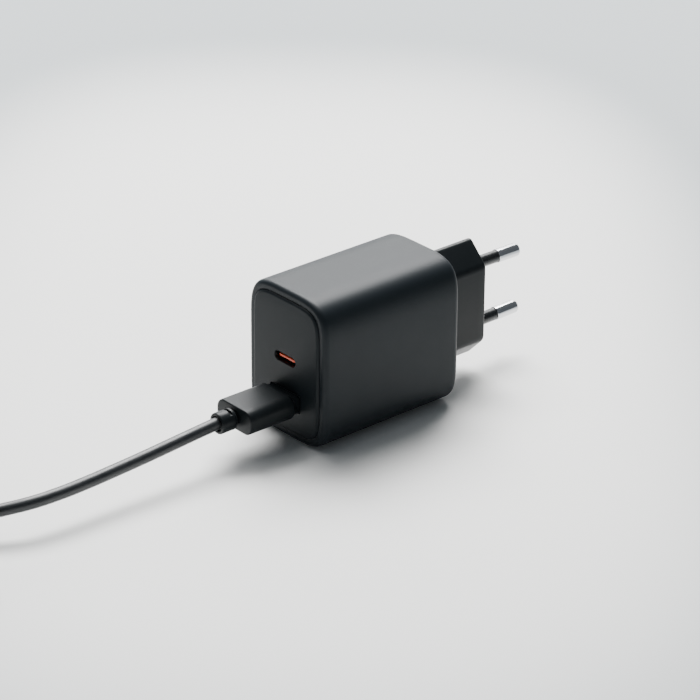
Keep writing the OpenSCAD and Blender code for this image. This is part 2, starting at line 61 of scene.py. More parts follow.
shell_low, shell_high = mm_box("housing_shell")
panel_low, panel_high = mm_box("front_panel")
FRONT = panel_low.y
PANEL_STAND = 0.6
RIM_Y = FRONT + PANEL_STAND
REAR = shell_high.y
WIDTH = shell_high.x - shell_low.x
HEIGHT = shell_high.z - shell_low.z
MID_Z = HEIGHT / 2
print(f"housing {WIDTH:.1f} x {REAR - FRONT:.1f} x {HEIGHT:.1f} mm")

# %% [markdown]
# ## Camera
#
# A long lens a little under a metre away keeps the box's edges almost parallel. A short lens close
# by would make them run together. It looks down on the front right corner. A vector from two angles
# says where the camera stands, and the same function places the lights later.

# %% Camera
CAMERA_AZIMUTH = 48.95
CAMERA_ELEVATION = 26.29
CAMERA_ROLL = 0.39
CAMERA_DISTANCE = 0.8984
CAMERA_LENS = 164.6
LOOK_AT = Vector((-1.5, (FRONT + REAR) / 2, 18.5)) * MM


def direction(azimuth, elevation):
    """Unit vector towards a place seen at these angles. Azimuth 0 is in front, 90 at the right."""
    a, e = math.radians(azimuth), math.radians(elevation)
    return Vector((math.sin(a) * math.cos(e), -math.cos(a) * math.cos(e), math.sin(e)))


camera = bpy.data.objects.new("camera", bpy.data.cameras.new("camera"))
bpy.context.scene.collection.objects.link(camera)
bpy.context.scene.camera = camera
toward_camera = direction(CAMERA_AZIMUTH, CAMERA_ELEVATION)
camera.location = LOOK_AT + toward_camera * CAMERA_DISTANCE
roll = Quaternion((0, 0, 1), math.radians(CAMERA_ROLL))
camera.rotation_mode = "QUATERNION"
camera.rotation_quaternion = toward_camera.to_track_quat("Z", "Y") @ roll
camera.data.lens = CAMERA_LENS
camera.data.clip_start = 0.05
camera.data.clip_end = 30
print("camera at", tuple(round(v, 3) for v in camera.location))

# %% [markdown]
# ## Cord
#
# The lead is one flexible PVC cord, a little under a metre long with its plugs. It could be a mesh
# tube, but a curve with a round bevel is easier to route and to measure. The way to the coil is given
# point by point: straight out of the strain relief, sagging to the table. A loop then lays the storage coil,
# four turns below and nearly three in the grooves above them. The end climbs onto the coil, to the
# small plug.

# %% Cord route
CORD_D = 3.6
RUN = [(0, -68, 12.45), (0, -76, 11.9), (0, -84, 11.3), (0, -94, 10.6), (0, -103, 10.1),
       (0, -112, 9.7), (-0.3, -121, 9.4), (-1.6, -129.3, 9.0), (-4.8, -136.7, 8.1),
       (-8.4, -143.6, 6.9), (-12.2, -151, 5.4), (-15.8, -159.5, 3.8), (-17.8, -167.5, 2.7)]
COIL_CENTRE = Vector((5.0, -175.6, 0))
COIL_MIDDLE_R = 17.8
# Angles on the coil are in degrees from the X axis, seen from above.
ENTRY_ANGLE = 180
END_ANGLE = 62
LOW_TURNS = 4
HIGH_TURNS = 3
STEPS_PER_TURN = 24
# The strap passes under the coil, so the low turns lie a strap's thickness above the table.
TIE_T = 0.5
# A high turn rests in the groove between two low ones.
LAYER_RISE = CORD_D * math.sin(math.radians(60))
# The last part of each turn moves over to the next one. In the high layer it rises in a low hump.
SHIFT_SHARE = 0.2
HUMP = 0.45
# The end climbs onto the coil. It starts to rise this far before the last turn ends.
CLIMB_START = 15.6
CLIMB_POWER = 1.3
LAST_STRETCH = 0.2
# The tail is an arc, drawn in the far plug's own direction and then turned with it.
TAIL_R = 10.41
TAIL_X = -3.56
TAIL_FROM = 105
TAIL_TO = 270
TAIL_STEPS = 8
FAR_TURN = math.radians(-45)
FAR_COVER_H = 6.4
FAR_COVER_GAP = 0.1


def smoothstep(t):
    """A smooth way from 0 to 1."""
    t = min(1, max(0, t))
    return t * t * (3 - 2 * t)


def turn_radius(turn):
    """Radius of a turn: the low layer winds inwards, the high one outwards."""
    if turn < LOW_TURNS:
        return COIL_MIDDLE_R + ((LOW_TURNS - 1) / 2 - turn) * CORD_D
    high_turn = min(turn, LOW_TURNS + HIGH_TURNS - 1) - LOW_TURNS
    return COIL_MIDDLE_R + (high_turn - (HIGH_TURNS - 1) / 2) * CORD_D


low_z = TIE_T + CORD_D / 2
high_z = low_z + LAYER_RISE
far_z = high_z + CORD_D / 2 + FAR_COVER_H / 2 + FAR_COVER_GAP
tail_length = math.radians(TAIL_TO - TAIL_FROM) * TAIL_R
LAST_TURN = LOW_TURNS + HIGH_TURNS - 1 + (END_ANGLE + 360 - ENTRY_ANGLE) / 360


def climb(distance):
    """Height of the cord's end, at a distance past the end of the coil's last turn."""
    t = min(1, max(0, (CLIMB_START + distance) / (CLIMB_START + tail_length)))
    return high_z + (far_z - high_z) * math.sin(math.pi / 2 * t) ** CLIMB_POWER


def coil_point(turns):
    """The cord's middle after this many turns of the coil, in millimetres."""
    turn = min(int(turns), LOW_TURNS + HIGH_TURNS - 1)
    shift = smoothstep((turns - turn - (1 - SHIFT_SHARE)) / SHIFT_SHARE)
    radius = turn_radius(turn) + (turn_radius(turn + 1) - turn_radius(turn)) * shift
    height = low_z + LAYER_RISE * (shift if turn == LOW_TURNS - 1 else float(turn >= LOW_TURNS))
    if turn >= LOW_TURNS:
        height += HUMP * math.sin(math.pi * shift)
    if turns > LAST_TURN - LAST_STRETCH:
        height = climb((turns - LAST_TURN) * 2 * math.pi * radius)
    angle = math.radians(ENTRY_ANGLE + 360 * turns)
    return COIL_CENTRE + Vector((radius * math.cos(angle), radius * math.sin(angle), height))


def tail_point(degrees):
    """A place on the arc with which the cord reaches the far plug, in millimetres."""
    a = math.radians(degrees)
    height = climb(math.radians(degrees - TAIL_FROM) * TAIL_R)
    flat = Vector((TAIL_X + TAIL_R * math.cos(a), TAIL_R + TAIL_R * math.sin(a), height))
    return COIL_CENTRE + Matrix.Rotation(FAR_TURN, 3, "Z") @ flat


coil_steps = int(LAST_TURN * STEPS_PER_TURN)
coil_points = [coil_point(LAST_TURN * i / coil_steps) for i in range(coil_steps + 1)]
tail_turn = TAIL_TO - TAIL_FROM
tail_points = [tail_point(TAIL_FROM + tail_turn * i / TAIL_STEPS) for i in range(1, TAIL_STEPS + 1)]
route = [Vector(p) for p in RUN] + coil_points + tail_points

# %% Cord as a bevelled curve
def cord_curve(name, points, diameter):
    """An open curve through the points, with a round section."""
    data = bpy.data.curves.new(name, "CURVE")
    data.dimensions = "3D"
    data.bevel_depth = diameter / 2 * MM
    data.bevel_resolution = 5
    data.resolution_u = 6
    data.use_fill_caps = True
    spline = data.splines.new("BEZIER")
    spline.bezier_points.add(len(points) - 1)
    for handle, point in zip(spline.bezier_points, points):
        handle.co = point * MM
        handle.handle_left_type = handle.handle_right_type = "AUTO"
    piece = bpy.data.objects.new(name, data)
    bpy.context.scene.collection.objects.link(piece)
    return piece


cord = cord_curve("cord", route, CORD_D)
print("cord curve points:", len(cord.data.splines[0].bezier_points))

# %% [markdown]
# ## Colours and nodes
#
# Colours are written as the sRGB hex values a designer would read off a chart. Blender mixes light
# in linear values, so one function converts them. One more function adds any node with its
# settings and its links. Patterns are laid out in the object's own coordinates, so they stay on the
# piece when it moves, and need no unwrapping.

# %% Colour and node helpers
def linear(hex_colour):
    """An sRGB hex colour as a linear RGBA value."""
    parts = [int(hex_colour[i:i + 2], 16) / 255 for i in (1, 3, 5)]
    return tuple(c / 12.92 if c <= 0.04045 else ((c + 0.055) / 1.055) ** 2.4 for c in parts) + (1,)


def add(tree, kind, inputs=(), **settings):
    """A new node. inputs maps a socket's name or number to a value, or to a socket to link from."""
    made = tree.nodes.new(kind)
    for key, value in settings.items():
        setattr(made, key, value)
    for key, value in dict(inputs).items():
        if isinstance(value, bpy.types.NodeSocket):
            tree.links.new(value, made.inputs[key])
        else:
            made.inputs[key].default_value = value
    return made


def new_material(name, **shader):
    """A material with its Principled shader set, and the object's own coordinates in metres."""
    material = bpy.data.materials.new(name)
    material.use_nodes = True
    tree = material.node_tree
    principled = tree.nodes["Principled BSDF"]
    for key, value in shader.items():
        principled.inputs[key.replace("_", " ")].default_value = value
    where = add(tree, "ShaderNodeTexCoord").outputs["Object"]
    return material, tree, principled, where


def waves_per_metre(size_mm):
    """Scale of a noise texture whose blotches are about this size."""
    return 1 / (size_mm * MM)


print("a mid grey as linear light:", round(linear("#808080")[0], 3))


# %% [markdown]
# ## Moulded plastic
#
# The housing is injection-moulded PC/ABS. The mould is spark eroded, which leaves a fine, even
# orange-peel of about 0.2 mm. That grain turns a sharp reflection into a broad satin sheen. Two
# sizes of noise are mixed: the fine one is the mould's grain, and a coarse faint one is the small
# unevenness of colour and gloss that flow in the mould leaves. Edges are rubbed a little smoother
# by handling, which the shader's pointiness finds.

# %% Moulded plastic
PLASTIC_IOR = 1.52
FLOW_MARKS_MM = 9
GLOSS_SPREAD = 0.05
WORN_GLOSS = 0.08


def moulded(name, colour, lighter, roughness, grain_mm, grain_depth, specular):
    """Injection-moulded plastic with a spark-eroded grain."""
    material, tree, shader, where = new_material(name, IOR=PLASTIC_IOR, Specular_IOR_Level=specular)
    flow = add(tree, "ShaderNodeTexNoise", {"Vector": where, "Scale": waves_per_metre(FLOW_MARKS_MM),
                                            "Detail": 3.0})
    grain = add(tree, "ShaderNodeTexNoise", {"Vector": where, "Scale": waves_per_metre(grain_mm),
                                             "Detail": 2.0, "Roughness": 0.6})
    tone = add(tree, "ShaderNodeMix", {"Factor": flow.outputs["Fac"], "A": linear(colour),
                                       "B": linear(lighter)}, data_type="RGBA")
    tree.links.new(tone.outputs["Result"], shader.inputs["Base Color"])
    edges = add(tree, "ShaderNodeNewGeometry").outputs["Pointiness"]
    worn = add(tree, "ShaderNodeMapRange", {"Value": edges, "From Min": 0.52, "From Max": 0.6,
                                            "To Min": 0.0, "To Max": -WORN_GLOSS})
    gloss = add(tree, "ShaderNodeMapRange", {"Value": grain.outputs["Fac"], "From Min": 0.3, "From Max": 0.7,
                                             "To Min": roughness - GLOSS_SPREAD,
                                             "To Max": roughness + GLOSS_SPREAD})
    total = add(tree, "ShaderNodeMath", {0: gloss.outputs["Result"], 1: worn.outputs["Result"]},
                operation="ADD")
    tree.links.new(total.outputs["Value"], shader.inputs["Roughness"])
    bump = add(tree, "ShaderNodeBump", {"Height": grain.outputs["Fac"], "Strength": 1.0,
                                        "Distance": grain_depth * MM})
    tree.links.new(bump.outputs["Normal"], shader.inputs["Normal"])
    return material


# PC/ABS from a spark-eroded mould: blue-black satin with a broad, soft sheen.
HOUSING = moulded("pc_abs_housing", "#151b1f", "#191f23", 0.45, 0.22, 0.012, 0.15)
# The same plastic from the panel's own mould, which is a little duller.
PANEL = moulded("pc_abs_front_panel", "#171c1f", "#1b2023", 0.46, 0.20, 0.010, 0.1)
# Polycarbonate from a smoother mould: deeper black, and a narrower shine along the edges.
BLOCK = moulded("pc_plug_block", "#101416", "#15191b", 0.36, 0.30, 0.004, 0.15)
# Nylon moulded round the pins: smooth and slightly waxy.
SLEEVE = moulded("nylon_pin_sleeve", "#0f1113", "#141618", 0.34, 0.35, 0.004, 0.35)
# Soft TPE over the plug: matt, with a fine grain.
COVER = moulded("tpe_plug_cover", "#14181a", "#191d1f", 0.40, 0.24, 0.008, 0.12)
print("moulded plastics:", [m.name for m in (HOUSING, PANEL, BLOCK, SLEEVE, COVER)])

# %% [markdown]
# ## The other finishes
#
# Everything else is described by one recipe with different numbers: a base colour with a faint
# second tone, a roughness that wanders a little, and a grain of the real size. Metals get their
# grain stretched along the direction in which the sheet was rolled or the bar was turned.

# %% General finish
def finish(name, colour, second, roughness, metallic=0.0, grain_mm=0.5, grain_depth=0.004,
           stretch=(1, 1, 1), coat=0.0, wander=0.06):
    """A finish of two close tones, with a grain of a real size."""
    material, tree, shader, where = new_material(name, Metallic=metallic, Coat_Weight=coat)
    along = add(tree, "ShaderNodeMapping", {"Vector": where, "Scale": stretch})
    grain = add(tree, "ShaderNodeTexNoise", {"Vector": along.outputs["Vector"],
                                             "Scale": waves_per_metre(grain_mm), "Detail": 3.0})
    tone = add(tree, "ShaderNodeMix", {"Factor": grain.outputs["Fac"], "A": linear(colour),
                                       "B": linear(second)}, data_type="RGBA")
    tree.links.new(tone.outputs["Result"], shader.inputs["Base Color"])
    gloss = add(tree, "ShaderNodeMapRange", {"Value": grain.outputs["Fac"], "From Min": 0.3, "From Max": 0.7,
                                             "To Min": roughness - wander, "To Max": roughness + wander})
    tree.links.new(gloss.outputs["Result"], shader.inputs["Roughness"])
    bump = add(tree, "ShaderNodeBump", {"Height": grain.outputs["Fac"], "Strength": 1.0,
                                        "Distance": grain_depth * MM})
    tree.links.new(bump.outputs["Normal"], shader.inputs["Normal"])
    return material


# %% Finishes outside
# Turned brass under nickel: a near mirror with faint rings from the lathe.
PIN_NICKEL = finish("turned_nickel_plate", "#c6c6c8", "#d4d4d6", 0.16, 1.0, 0.6, 0.002, (1, 6, 1),
                    wander=0.03)
# Extruded PVC: even satin black, with marks drawn out along the cord.
CORD_PVC = finish("extruded_pvc_cord", "#14181b", "#1a1e21", 0.44, 0.0, 1.5, 0.006, (1, 0.4, 1))
# Woven hook-and-loop strap: quite matt, and fuzzy close up.
TIE_WEAVE = finish("woven_hook_strap", "#101112", "#1a1b1c", 0.85, 0.0, 0.35, 0.03)
# Rolled steel sheet under nickel: a greyish shine, with streaks along the sheet.
PORT_STEEL = finish("nickel_plated_steel_sheet", "#a9abad", "#bcbec0", 0.30, 1.0, 0.4, 0.002, (1, 0.2, 1))
# The same sheet painted near black: painted shade, so that the small port looks dark.
PORT_SHADE_STEEL = finish("black_nickel_port_shell", "#2a2b2c", "#343536", 0.38, 1.0, 0.4, 0.002, (1, 0.2, 1))
# Contacts with a flash of gold.
GOLD = finish("gold_flash_contact", "#d2a24a", "#e0b45c", 0.24, 1.0, 0.4, 0.001)
# The small port's tongue: strong orange liquid-crystal polymer, quite smooth.
ORANGE = finish("orange_lcp_tongue", "#e2441c", "#ee5526", 0.35, 0.0, 0.5, 0.003)

# %% Finishes inside
# Green solder mask: a glossy film over glass fibre, and a faint coat gives its second highlight.
CIRCUIT_BOARD = finish("green_solder_mask", "#1d5a31", "#256b3b", 0.32, 0.0, 1.2, 0.006, coat=0.3)
# Moulded epoxy of chips and sockets: dark and dull.
BLACK_RESIN = finish("black_epoxy_resin", "#1a1b1c", "#222324", 0.55, 0.0, 0.3, 0.008)
# Natural nylon: off-white.
WHITE_RESIN = finish("white_nylon_resin", "#dedcd6", "#e8e6e0", 0.5, 0.0, 0.5, 0.006)
# Sintered ferrite: dark grey, with the pitted grain of a fired powder.
FERRITE = finish("sintered_ferrite", "#2e2f31", "#3b3c3f", 0.6, 0.0, 0.25, 0.02)
# Polyester tape round the transformer: shiny yellow film.
TAPE = finish("yellow_polyester_tape", "#d9ab2b", "#e3b93c", 0.3, 0.0, 2.0, 0.01, coat=0.3)
# Shrunk PVC sleeve of a mains capacitor: tight, dark and glossy.
CAP_SLEEVE = finish("pvc_shrink_sleeve", "#161b22", "#1f2630", 0.28, 0.0, 1.5, 0.004, coat=0.2)
# Drawn aluminium: pale metal with draw marks.
ALUMINIUM = finish("drawn_aluminium", "#b5b8bb", "#c5c8ca", 0.32, 1.0, 0.4, 0.003, (4, 0.5, 1))
# PBT box of the X capacitor: warm yellow, satin.
YELLOW_CASE = finish("yellow_pbt_case", "#c98f16", "#d59d25", 0.42, 0.0, 0.4, 0.006)
# Dipped epoxy of disc parts: thick, wavy and glossy blue.
BLUE_DIP = finish("blue_epoxy_dip", "#1f4f86", "#2a5f99", 0.22, 0.0, 1.2, 0.02, coat=0.4)
# Enamelled copper wire: reddish and shiny.
COPPER = finish("enamelled_copper", "#a65a2a", "#b96a36", 0.28, 1.0, 0.5, 0.003)
# Phosphor bronze strip: a browner, softer shine than gold.
BRONZE = finish("phosphor_bronze_spring", "#b9854c", "#c59259", 0.3, 1.0, 0.4, 0.002, (1, 0.3, 1))
# Glazed ceramic tube of the fuse: white and glassy.
CERAMIC = finish("glazed_ceramic", "#d8d6d0", "#e2e0da", 0.18, 0.0, 2.0, 0.004)
# Filled silicone pad: grey-blue and quite dull.
SILICONE = finish("soft_silicone_pad", "#8d99a3", "#9aa6b0", 0.7, 0.0, 0.6, 0.02)
# Polyester film between the mains side and the housing: pale and shiny.
FILM = finish("polyester_film", "#c9c5b2", "#d6d2c0", 0.2, 0.0, 3.0, 0.002)
print("materials:", len(bpy.data.materials))

# %% [markdown]
# ## Shapes from rings
#
# Most moulded parts here are one outline that is repeated along a line while it grows or shrinks:
# a rounded edge is only a set of rings that shrink along a quarter circle. So one helper makes
# the outline, another moves it inwards by a given distance, and a third stitches rings into a
# closed skin. Sharp edges are then marked by angle, and everything else is shaded smooth.

# %% Outline helpers
SAME_PLACE = 1e-4
NO_LENGTH = 1e-6


def soft_rectangle(width, height, corner, power=2.5, per_corner=28, per_side=6):
    """Points round a rectangle whose corners are superellipses: the curve starts gently."""
    points = []
    for sx, sz, backwards in ((1, 1, False), (-1, 1, True), (-1, -1, False), (1, -1, True)):
        bend = []
        for i in range(per_corner + 1):
            t = math.pi / 2 * i / per_corner
            x = corner * math.cos(t) ** (2 / power)
            z = corner * math.sin(t) ** (2 / power)
            bend.append((sx * (width / 2 - corner + x), sz * (height / 2 - corner + z)))
        points.append(bend[::-1] if backwards else bend)
    outline = []
    for k in range(4):
        outline += points[k]
        a, b = Vector(points[k][-1]), Vector(points[(k + 1) % 4][0])
        if (b - a).length > NO_LENGTH:
            outline += [tuple(a.lerp(b, i / per_side)) for i in range(1, per_side)]
    return clean_outline(outline)


def clean_outline(points):
    """The outline without points that fall on each other."""
    kept = []
    for p in points:
        if not kept or (Vector(p) - Vector(kept[-1])).length > SAME_PLACE:
            kept.append(p)
    if (Vector(kept[0]) - Vector(kept[-1])).length < SAME_PLACE:
        kept.pop()
    return kept


def arc_outline(corners, per_corner=10):
    """Points round a polygon, each corner given as (x, z, radius) and rounded with a true arc."""
    outline = []
    count = len(corners)
    for i, (x, z, radius) in enumerate(corners):
        here = Vector((x, z))
        back = (Vector(corners[i - 1][:2]) - here).normalized()
        ahead = (Vector(corners[(i + 1) % count][:2]) - here).normalized()
        half = math.acos(max(-1, min(1, back.dot(ahead)))) / 2
        reach = radius / math.tan(half)
        centre = here + (back + ahead).normalized() * (radius / math.sin(half))
        start, end = here + back * reach - centre, here + ahead * reach - centre
        a0, a1 = math.atan2(start.y, start.x), math.atan2(end.y, end.x)
        turn = (a1 - a0 + math.pi) % (2 * math.pi) - math.pi
        for k in range(per_corner + 1):
            a = a0 + turn * k / per_corner
            outline.append((centre.x + radius * math.cos(a), centre.y + radius * math.sin(a)))
    return clean_outline(outline)


def inward(outline, distance):
    """The outline moved inwards along its own normals."""
    moved = []
    count = len(outline)
    for i, p in enumerate(outline):
        a, b = Vector(outline[i - 1]), Vector(outline[(i + 1) % count])
        along = (b - a).normalized()
        moved.append((p[0] - along.y * distance, p[1] + along.x * distance))
    return moved


def quarter(inset0, y0, inset1, y1, steps=8, hollow=False):
    """Rings (inset, y) along a quarter ellipse: round like an edge's start, or its end if hollow."""
    rings = []
    for i in range(steps + 1):
        t = math.pi / 2 * i / steps
        a, b = (math.sin(t), 1 - math.cos(t)) if not hollow else (1 - math.cos(t), math.sin(t))
        rings.append((inset0 + (inset1 - inset0) * a, y0 + (y1 - y0) * b))
    return rings


print("a soft square of 10 mm has", len(soft_rectangle(10, 10, 1)), "points")

# %% Skin helpers
SHARP_ANGLE = math.radians(35)
WELD = 1e-7


def finish_mesh(name, bm, material):
    """A mesh object from a bmesh: welded, faces outwards, smooth but for its sharp edges."""
    bmesh.ops.remove_doubles(bm, verts=bm.verts, dist=WELD)
    bmesh.ops.recalc_face_normals(bm, faces=bm.faces)
    mesh = bpy.data.meshes.new(name)
    bm.to_mesh(mesh)
    bm.free()
    mesh.shade_smooth()
    mesh.set_sharp_from_angle(angle=SHARP_ANGLE)
    mesh.materials.append(material)
    piece = bpy.data.objects.new(name, mesh)
    bpy.context.scene.collection.objects.link(piece)
    return piece


def stitch(bm, rings, closed=False):
    """Faces between rings of points in millimetres. The ends are capped unless the rings close up."""
    made = [[bm.verts.new(Vector(p) * MM) for p in ring] for ring in rings]
    count = len(made[0])
    pairs = list(zip(made, made[1:])) + ([(made[-1], made[0])] if closed else [])
    for a, b in pairs:
        for i in range(count):
            k = (i + 1) % count
            bm.faces.new((a[i], a[k], b[k], b[i]))
    if not closed:
        bm.faces.new(made[0])
        bm.faces.new(made[-1][::-1])


def loft(outline, profile, middle_z):
    """Rings of the outline along Y. The profile is a list of (inset, y)."""
    return [[(x, y, z + middle_z) for x, z in inward(outline, inset)] for inset, y in profile]


def lathe_rings(profile, origin, axis, sides=64):
    """Rings round an axis from (radius, distance along it)."""
    turn = Vector((0, 0, 1)).rotation_difference(Vector(axis))
    rings = []
    for radius, along in profile:
        ring = []
        for i in range(sides):
            a = 2 * math.pi * i / sides
            local = Vector((radius * math.cos(a), radius * math.sin(a), along))
            ring.append(tuple(Vector(origin) + turn @ local))
        rings.append(ring)
    return rings


def solid(name, rings, material, closed=False):
    """One closed skin as a finished piece."""
    bm = bmesh.new()
    stitch(bm, rings, closed)
    return finish_mesh(name, bm, material)


# %% Cutting, joining and placing
def carve(piece, tool, operation="DIFFERENCE"):
    """Cuts the tool out of the piece, or joins it on, and keeps only the result."""
    modifier = piece.modifiers.new("carve", "BOOLEAN")
    modifier.object = tool
    modifier.operation = operation
    modifier.solver = "EXACT"
    bake(piece)
    bpy.data.objects.remove(tool)
    piece.data.set_sharp_from_angle(angle=SHARP_ANGLE)


def bake(piece):
    """Replaces a piece's mesh by what its modifiers make of it, and removes them."""
    bpy.context.view_layer.update()
    shown = piece.evaluated_get(bpy.context.evaluated_depsgraph_get())
    mesh = bpy.data.meshes.new_from_object(shown)
    mesh.name = piece.name
    piece.modifiers.clear()
    piece.data = mesh
    return piece


def joined(name, *pieces):
    """Several finished pieces as one."""
    bm = bmesh.new()
    materials = []
    for piece in pieces:
        offset = len(materials)
        materials += list(piece.data.materials)
        before = len(bm.faces)
        bm.from_mesh(piece.data)
        bm.faces.ensure_lookup_table()
        for face in bm.faces[before:]:
            face.material_index += offset
        bpy.data.objects.remove(piece)
    mesh = bpy.data.meshes.new(name)
    bm.to_mesh(mesh)
    bm.free()
    for material in materials:
        mesh.materials.append(material)
    whole = bpy.data.objects.new(name, mesh)
    bpy.context.scene.collection.objects.link(whole)
    return whole


def place(piece, body, slot, *nodes):
    """The piece rides on a body and stands for CAD nodes, which are hidden. The slot is not used."""
    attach(piece, body)
    if nodes:
        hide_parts(*nodes)
    print(f"{piece.name}: on {body}, stands for {', '.join(nodes) or 'nothing'}")
    return piece


# %% [markdown]
# ## Housing
#
# The shell is a tube, open at both ends, with walls 1.7 mm thick. The front panel sits inside its
# rim, and the rear panel in a recess. A cube with bevels could not have corners this soft, so the
# section is followed right round instead: from the inner wall over the front rim, along the
# outside and back over the rear rim. The skin closes on itself like a ring.

# %% Housing
CORNER = 14
CORNER_POWER = 3.4
WALL = 1.7
REAR_RECESS = 1.5
RECESS_DEPTH = 2.1
RIM_SIDE = 2.5
RIM_DEPTH = 1.9
RIM_INNER_R = 0.2
RIM_ROUND = (1.4, 1.7)
REAR_R = 1.8
REAR_INNER_R = 0.3
END_ZONE = 6
housing_outline = soft_rectangle(WIDTH, HEIGHT, CORNER, CORNER_POWER)

shell_profile = [(WALL, REAR - RECESS_DEPTH), (WALL, FRONT + RIM_DEPTH), (RIM_SIDE, FRONT + RIM_DEPTH)]
shell_profile += quarter(RIM_SIDE, RIM_Y + RIM_INNER_R, RIM_SIDE - RIM_INNER_R, RIM_Y, 4, hollow=True)
shell_profile += quarter(RIM_ROUND[0], RIM_Y, 0, RIM_Y + RIM_ROUND[1], 12)
shell_profile += [(0, FRONT + END_ZONE), (0, REAR - END_ZONE)]
shell_profile += quarter(0, REAR - REAR_R, REAR_RECESS - REAR_INNER_R, REAR, 10, hollow=True)
shell_profile += quarter(REAR_RECESS - REAR_INNER_R, REAR, REAR_RECESS, REAR - REAR_INNER_R, 4)
shell_profile += [(REAR_RECESS, REAR - RECESS_DEPTH)]
housing = solid("housing", loft(housing_outline, shell_profile, MID_Z), HOUSING, closed=True)
place(housing, "charger", "housing_plastic", "housing_shell")
print("housing faces:", len(housing.data.polygons))

# %% [markdown]
# ## Front panel
#
# The panel fills the front opening like a flat cushion and stands a little proud of the shell's
# rim, with a round edge. It could be part of the housing's skin, but it is a separate moulding,
# and the fine groove round it is the real gap. The two port openings are cut with a slightly
# flared tool, which leaves the small rounding that a mould needs round every opening. A lip on
# the back holds the panel behind the rim.

# %% Front panel
PANEL_GAP = 0.04
PANEL_R = 0.85
PANEL_T = 2.0
LIP_GAP = 0.1
LIP_W = 1.6
OVERLAP = 0.02
A_OPENING = (12.7, 5.5, 0.6)
C_OPENING = (8.8, 2.84, 1.4)
MOUTH_FLARE = 0.08
MOUTH_DEPTH = 0.2
TOOL_REACH = 8
panel_back = FRONT + PANEL_T
panel_outline = inward(housing_outline, RIM_SIDE + PANEL_GAP)


def opening_tool(name, width, height, corner, z):
    """A bar that cuts a port opening with a slightly rounded mouth."""
    outline = soft_rectangle(width, height, corner, 2, 8, 3)
    mouth = [(-MOUTH_FLARE, FRONT - 1)] + quarter(-MOUTH_FLARE, FRONT, 0, FRONT + MOUTH_DEPTH, 4, hollow=True)
    return solid(name, loft(outline, mouth + [(0, FRONT + TOOL_REACH)], z), PANEL)


panel_profile = quarter(PANEL_R, FRONT, 0, FRONT + PANEL_R, 10)
panel_profile += [(0, panel_back), (RIM_SIDE, panel_back)]
front_panel = solid("front_panel_skin", loft(panel_outline, panel_profile, MID_Z), PANEL)
lip_outer, lip_inner = WALL + LIP_GAP, WALL + LIP_GAP + LIP_W
lip_profile = [(lip_outer, panel_back - OVERLAP), (lip_outer, panel_high.y), (lip_inner, panel_high.y),
               (lip_inner, panel_back - OVERLAP)]
panel_lip = solid("panel_lip", loft(housing_outline, lip_profile, MID_Z), PANEL, closed=True)
a_low, a_high = mm_box("usb_a_shell")
c_low, c_high = mm_box("usb_c_shell")
port_a_z = (a_low.z + a_high.z) / 2
port_c_z = (c_low.z + c_high.z) / 2
carve(front_panel, opening_tool("a_cutter", *A_OPENING, port_a_z))
carve(front_panel, opening_tool("c_cutter", *C_OPENING, port_c_z))
front_panel = joined("front_panel_skin", front_panel, panel_lip)
place(front_panel, "charger", "panel_plastic", "front_panel")

# %% [markdown]
# ## Plug block
#
# The block fits the hexagonal well of a European socket: straight sides, shoulders at 45 degrees
# and a rounded point above and below. It is moulded in one piece with the rear panel. Its outline
# is a polygon whose corners are rounded with true arcs, because a bevel would have to guess how far
# each corner may reach. Two round seats take the pin sleeves.

# %% Plug block
BLOCK_END = mm_box("plug_block")[1].y
BLOCK_Z = 22.8
BLOCK_W = 13.7
BLOCK_H = 35.9
BLOCK_SIDE = 23.4
SIDE_R = 3.4
BLOCK_EDGE = 0.7
BLOCK_ROOT = 1
REAR_PANEL_T = 1.8
REAR_PANEL_R = 0.3
# The point of the sharp polygon lies where the two shoulders meet. Its arc brings it down to BLOCK_H.
POINT = BLOCK_W / 2 + BLOCK_SIDE / 2
TIP_R = (POINT - BLOCK_H / 2) / (math.sqrt(2) - 1)
right = [(BLOCK_W / 2, -BLOCK_SIDE / 2, SIDE_R), (BLOCK_W / 2, BLOCK_SIDE / 2, SIDE_R)]
left = [(-x, z, r) for x, z, r in right[::-1]]
block_outline = arc_outline([(0, -POINT, TIP_R)] + right + [(0, POINT, TIP_R)] + left)
block_profile = [(0, REAR - BLOCK_ROOT), (0, REAR + 2), (0, BLOCK_END - 3)]
block_profile += quarter(0, BLOCK_END - BLOCK_EDGE, BLOCK_EDGE, BLOCK_END, 6, hollow=True)
plug_block = solid("plug_block_skin", loft(block_outline, block_profile, BLOCK_Z), BLOCK)
rear_profile = [(0, REAR - REAR_PANEL_T)]
rear_profile += quarter(0, REAR - REAR_PANEL_R, REAR_PANEL_R, REAR, 4, hollow=True)
rear_outline = inward(housing_outline, REAR_RECESS + PANEL_GAP)
rear_panel = solid("rear_panel", loft(rear_outline, rear_profile, MID_Z), BLOCK)
carve(plug_block, rear_panel, "UNION")
print("block point arc radius:", round(TIP_R, 2), "mm")

# %% [markdown]
# ## Pins and sleeves
#
# Each pin is turned from brass rod and nickel plated. It is thinner where the insulating sleeve
# is moulded round it, so the sleeve stays a little below the bare tip. The two pins lean towards
# each other by about one degree: a socket straightens them a little, and that spring is what
# holds the plug. Turned parts are revolved profiles, so each is a list of radii along its axis.

# %% Pins and sleeves
PIN_L = 18.5
SLEEVE_L = 10.0
PIN_R = 2.0
CORE_R = 1.5
SLEEVE_R = 1.84
PITCH_BASE = 18.7
PITCH_TIP = 18.1
SEAT = 1.9
PIN_ROOT = 6
FLANGE_R = 2.5
FLANGE_FROM = 3.3
FLANGE_TO = 2.1
TIP_ROUND = 1.1
SHOULDER = 0.12
# A ring needs some width to be stitched. This one is too small to see.
ON_AXIS = 0.01
FIT = 0.015
lean = math.atan((PITCH_BASE - PITCH_TIP) / 2 / PIN_L)


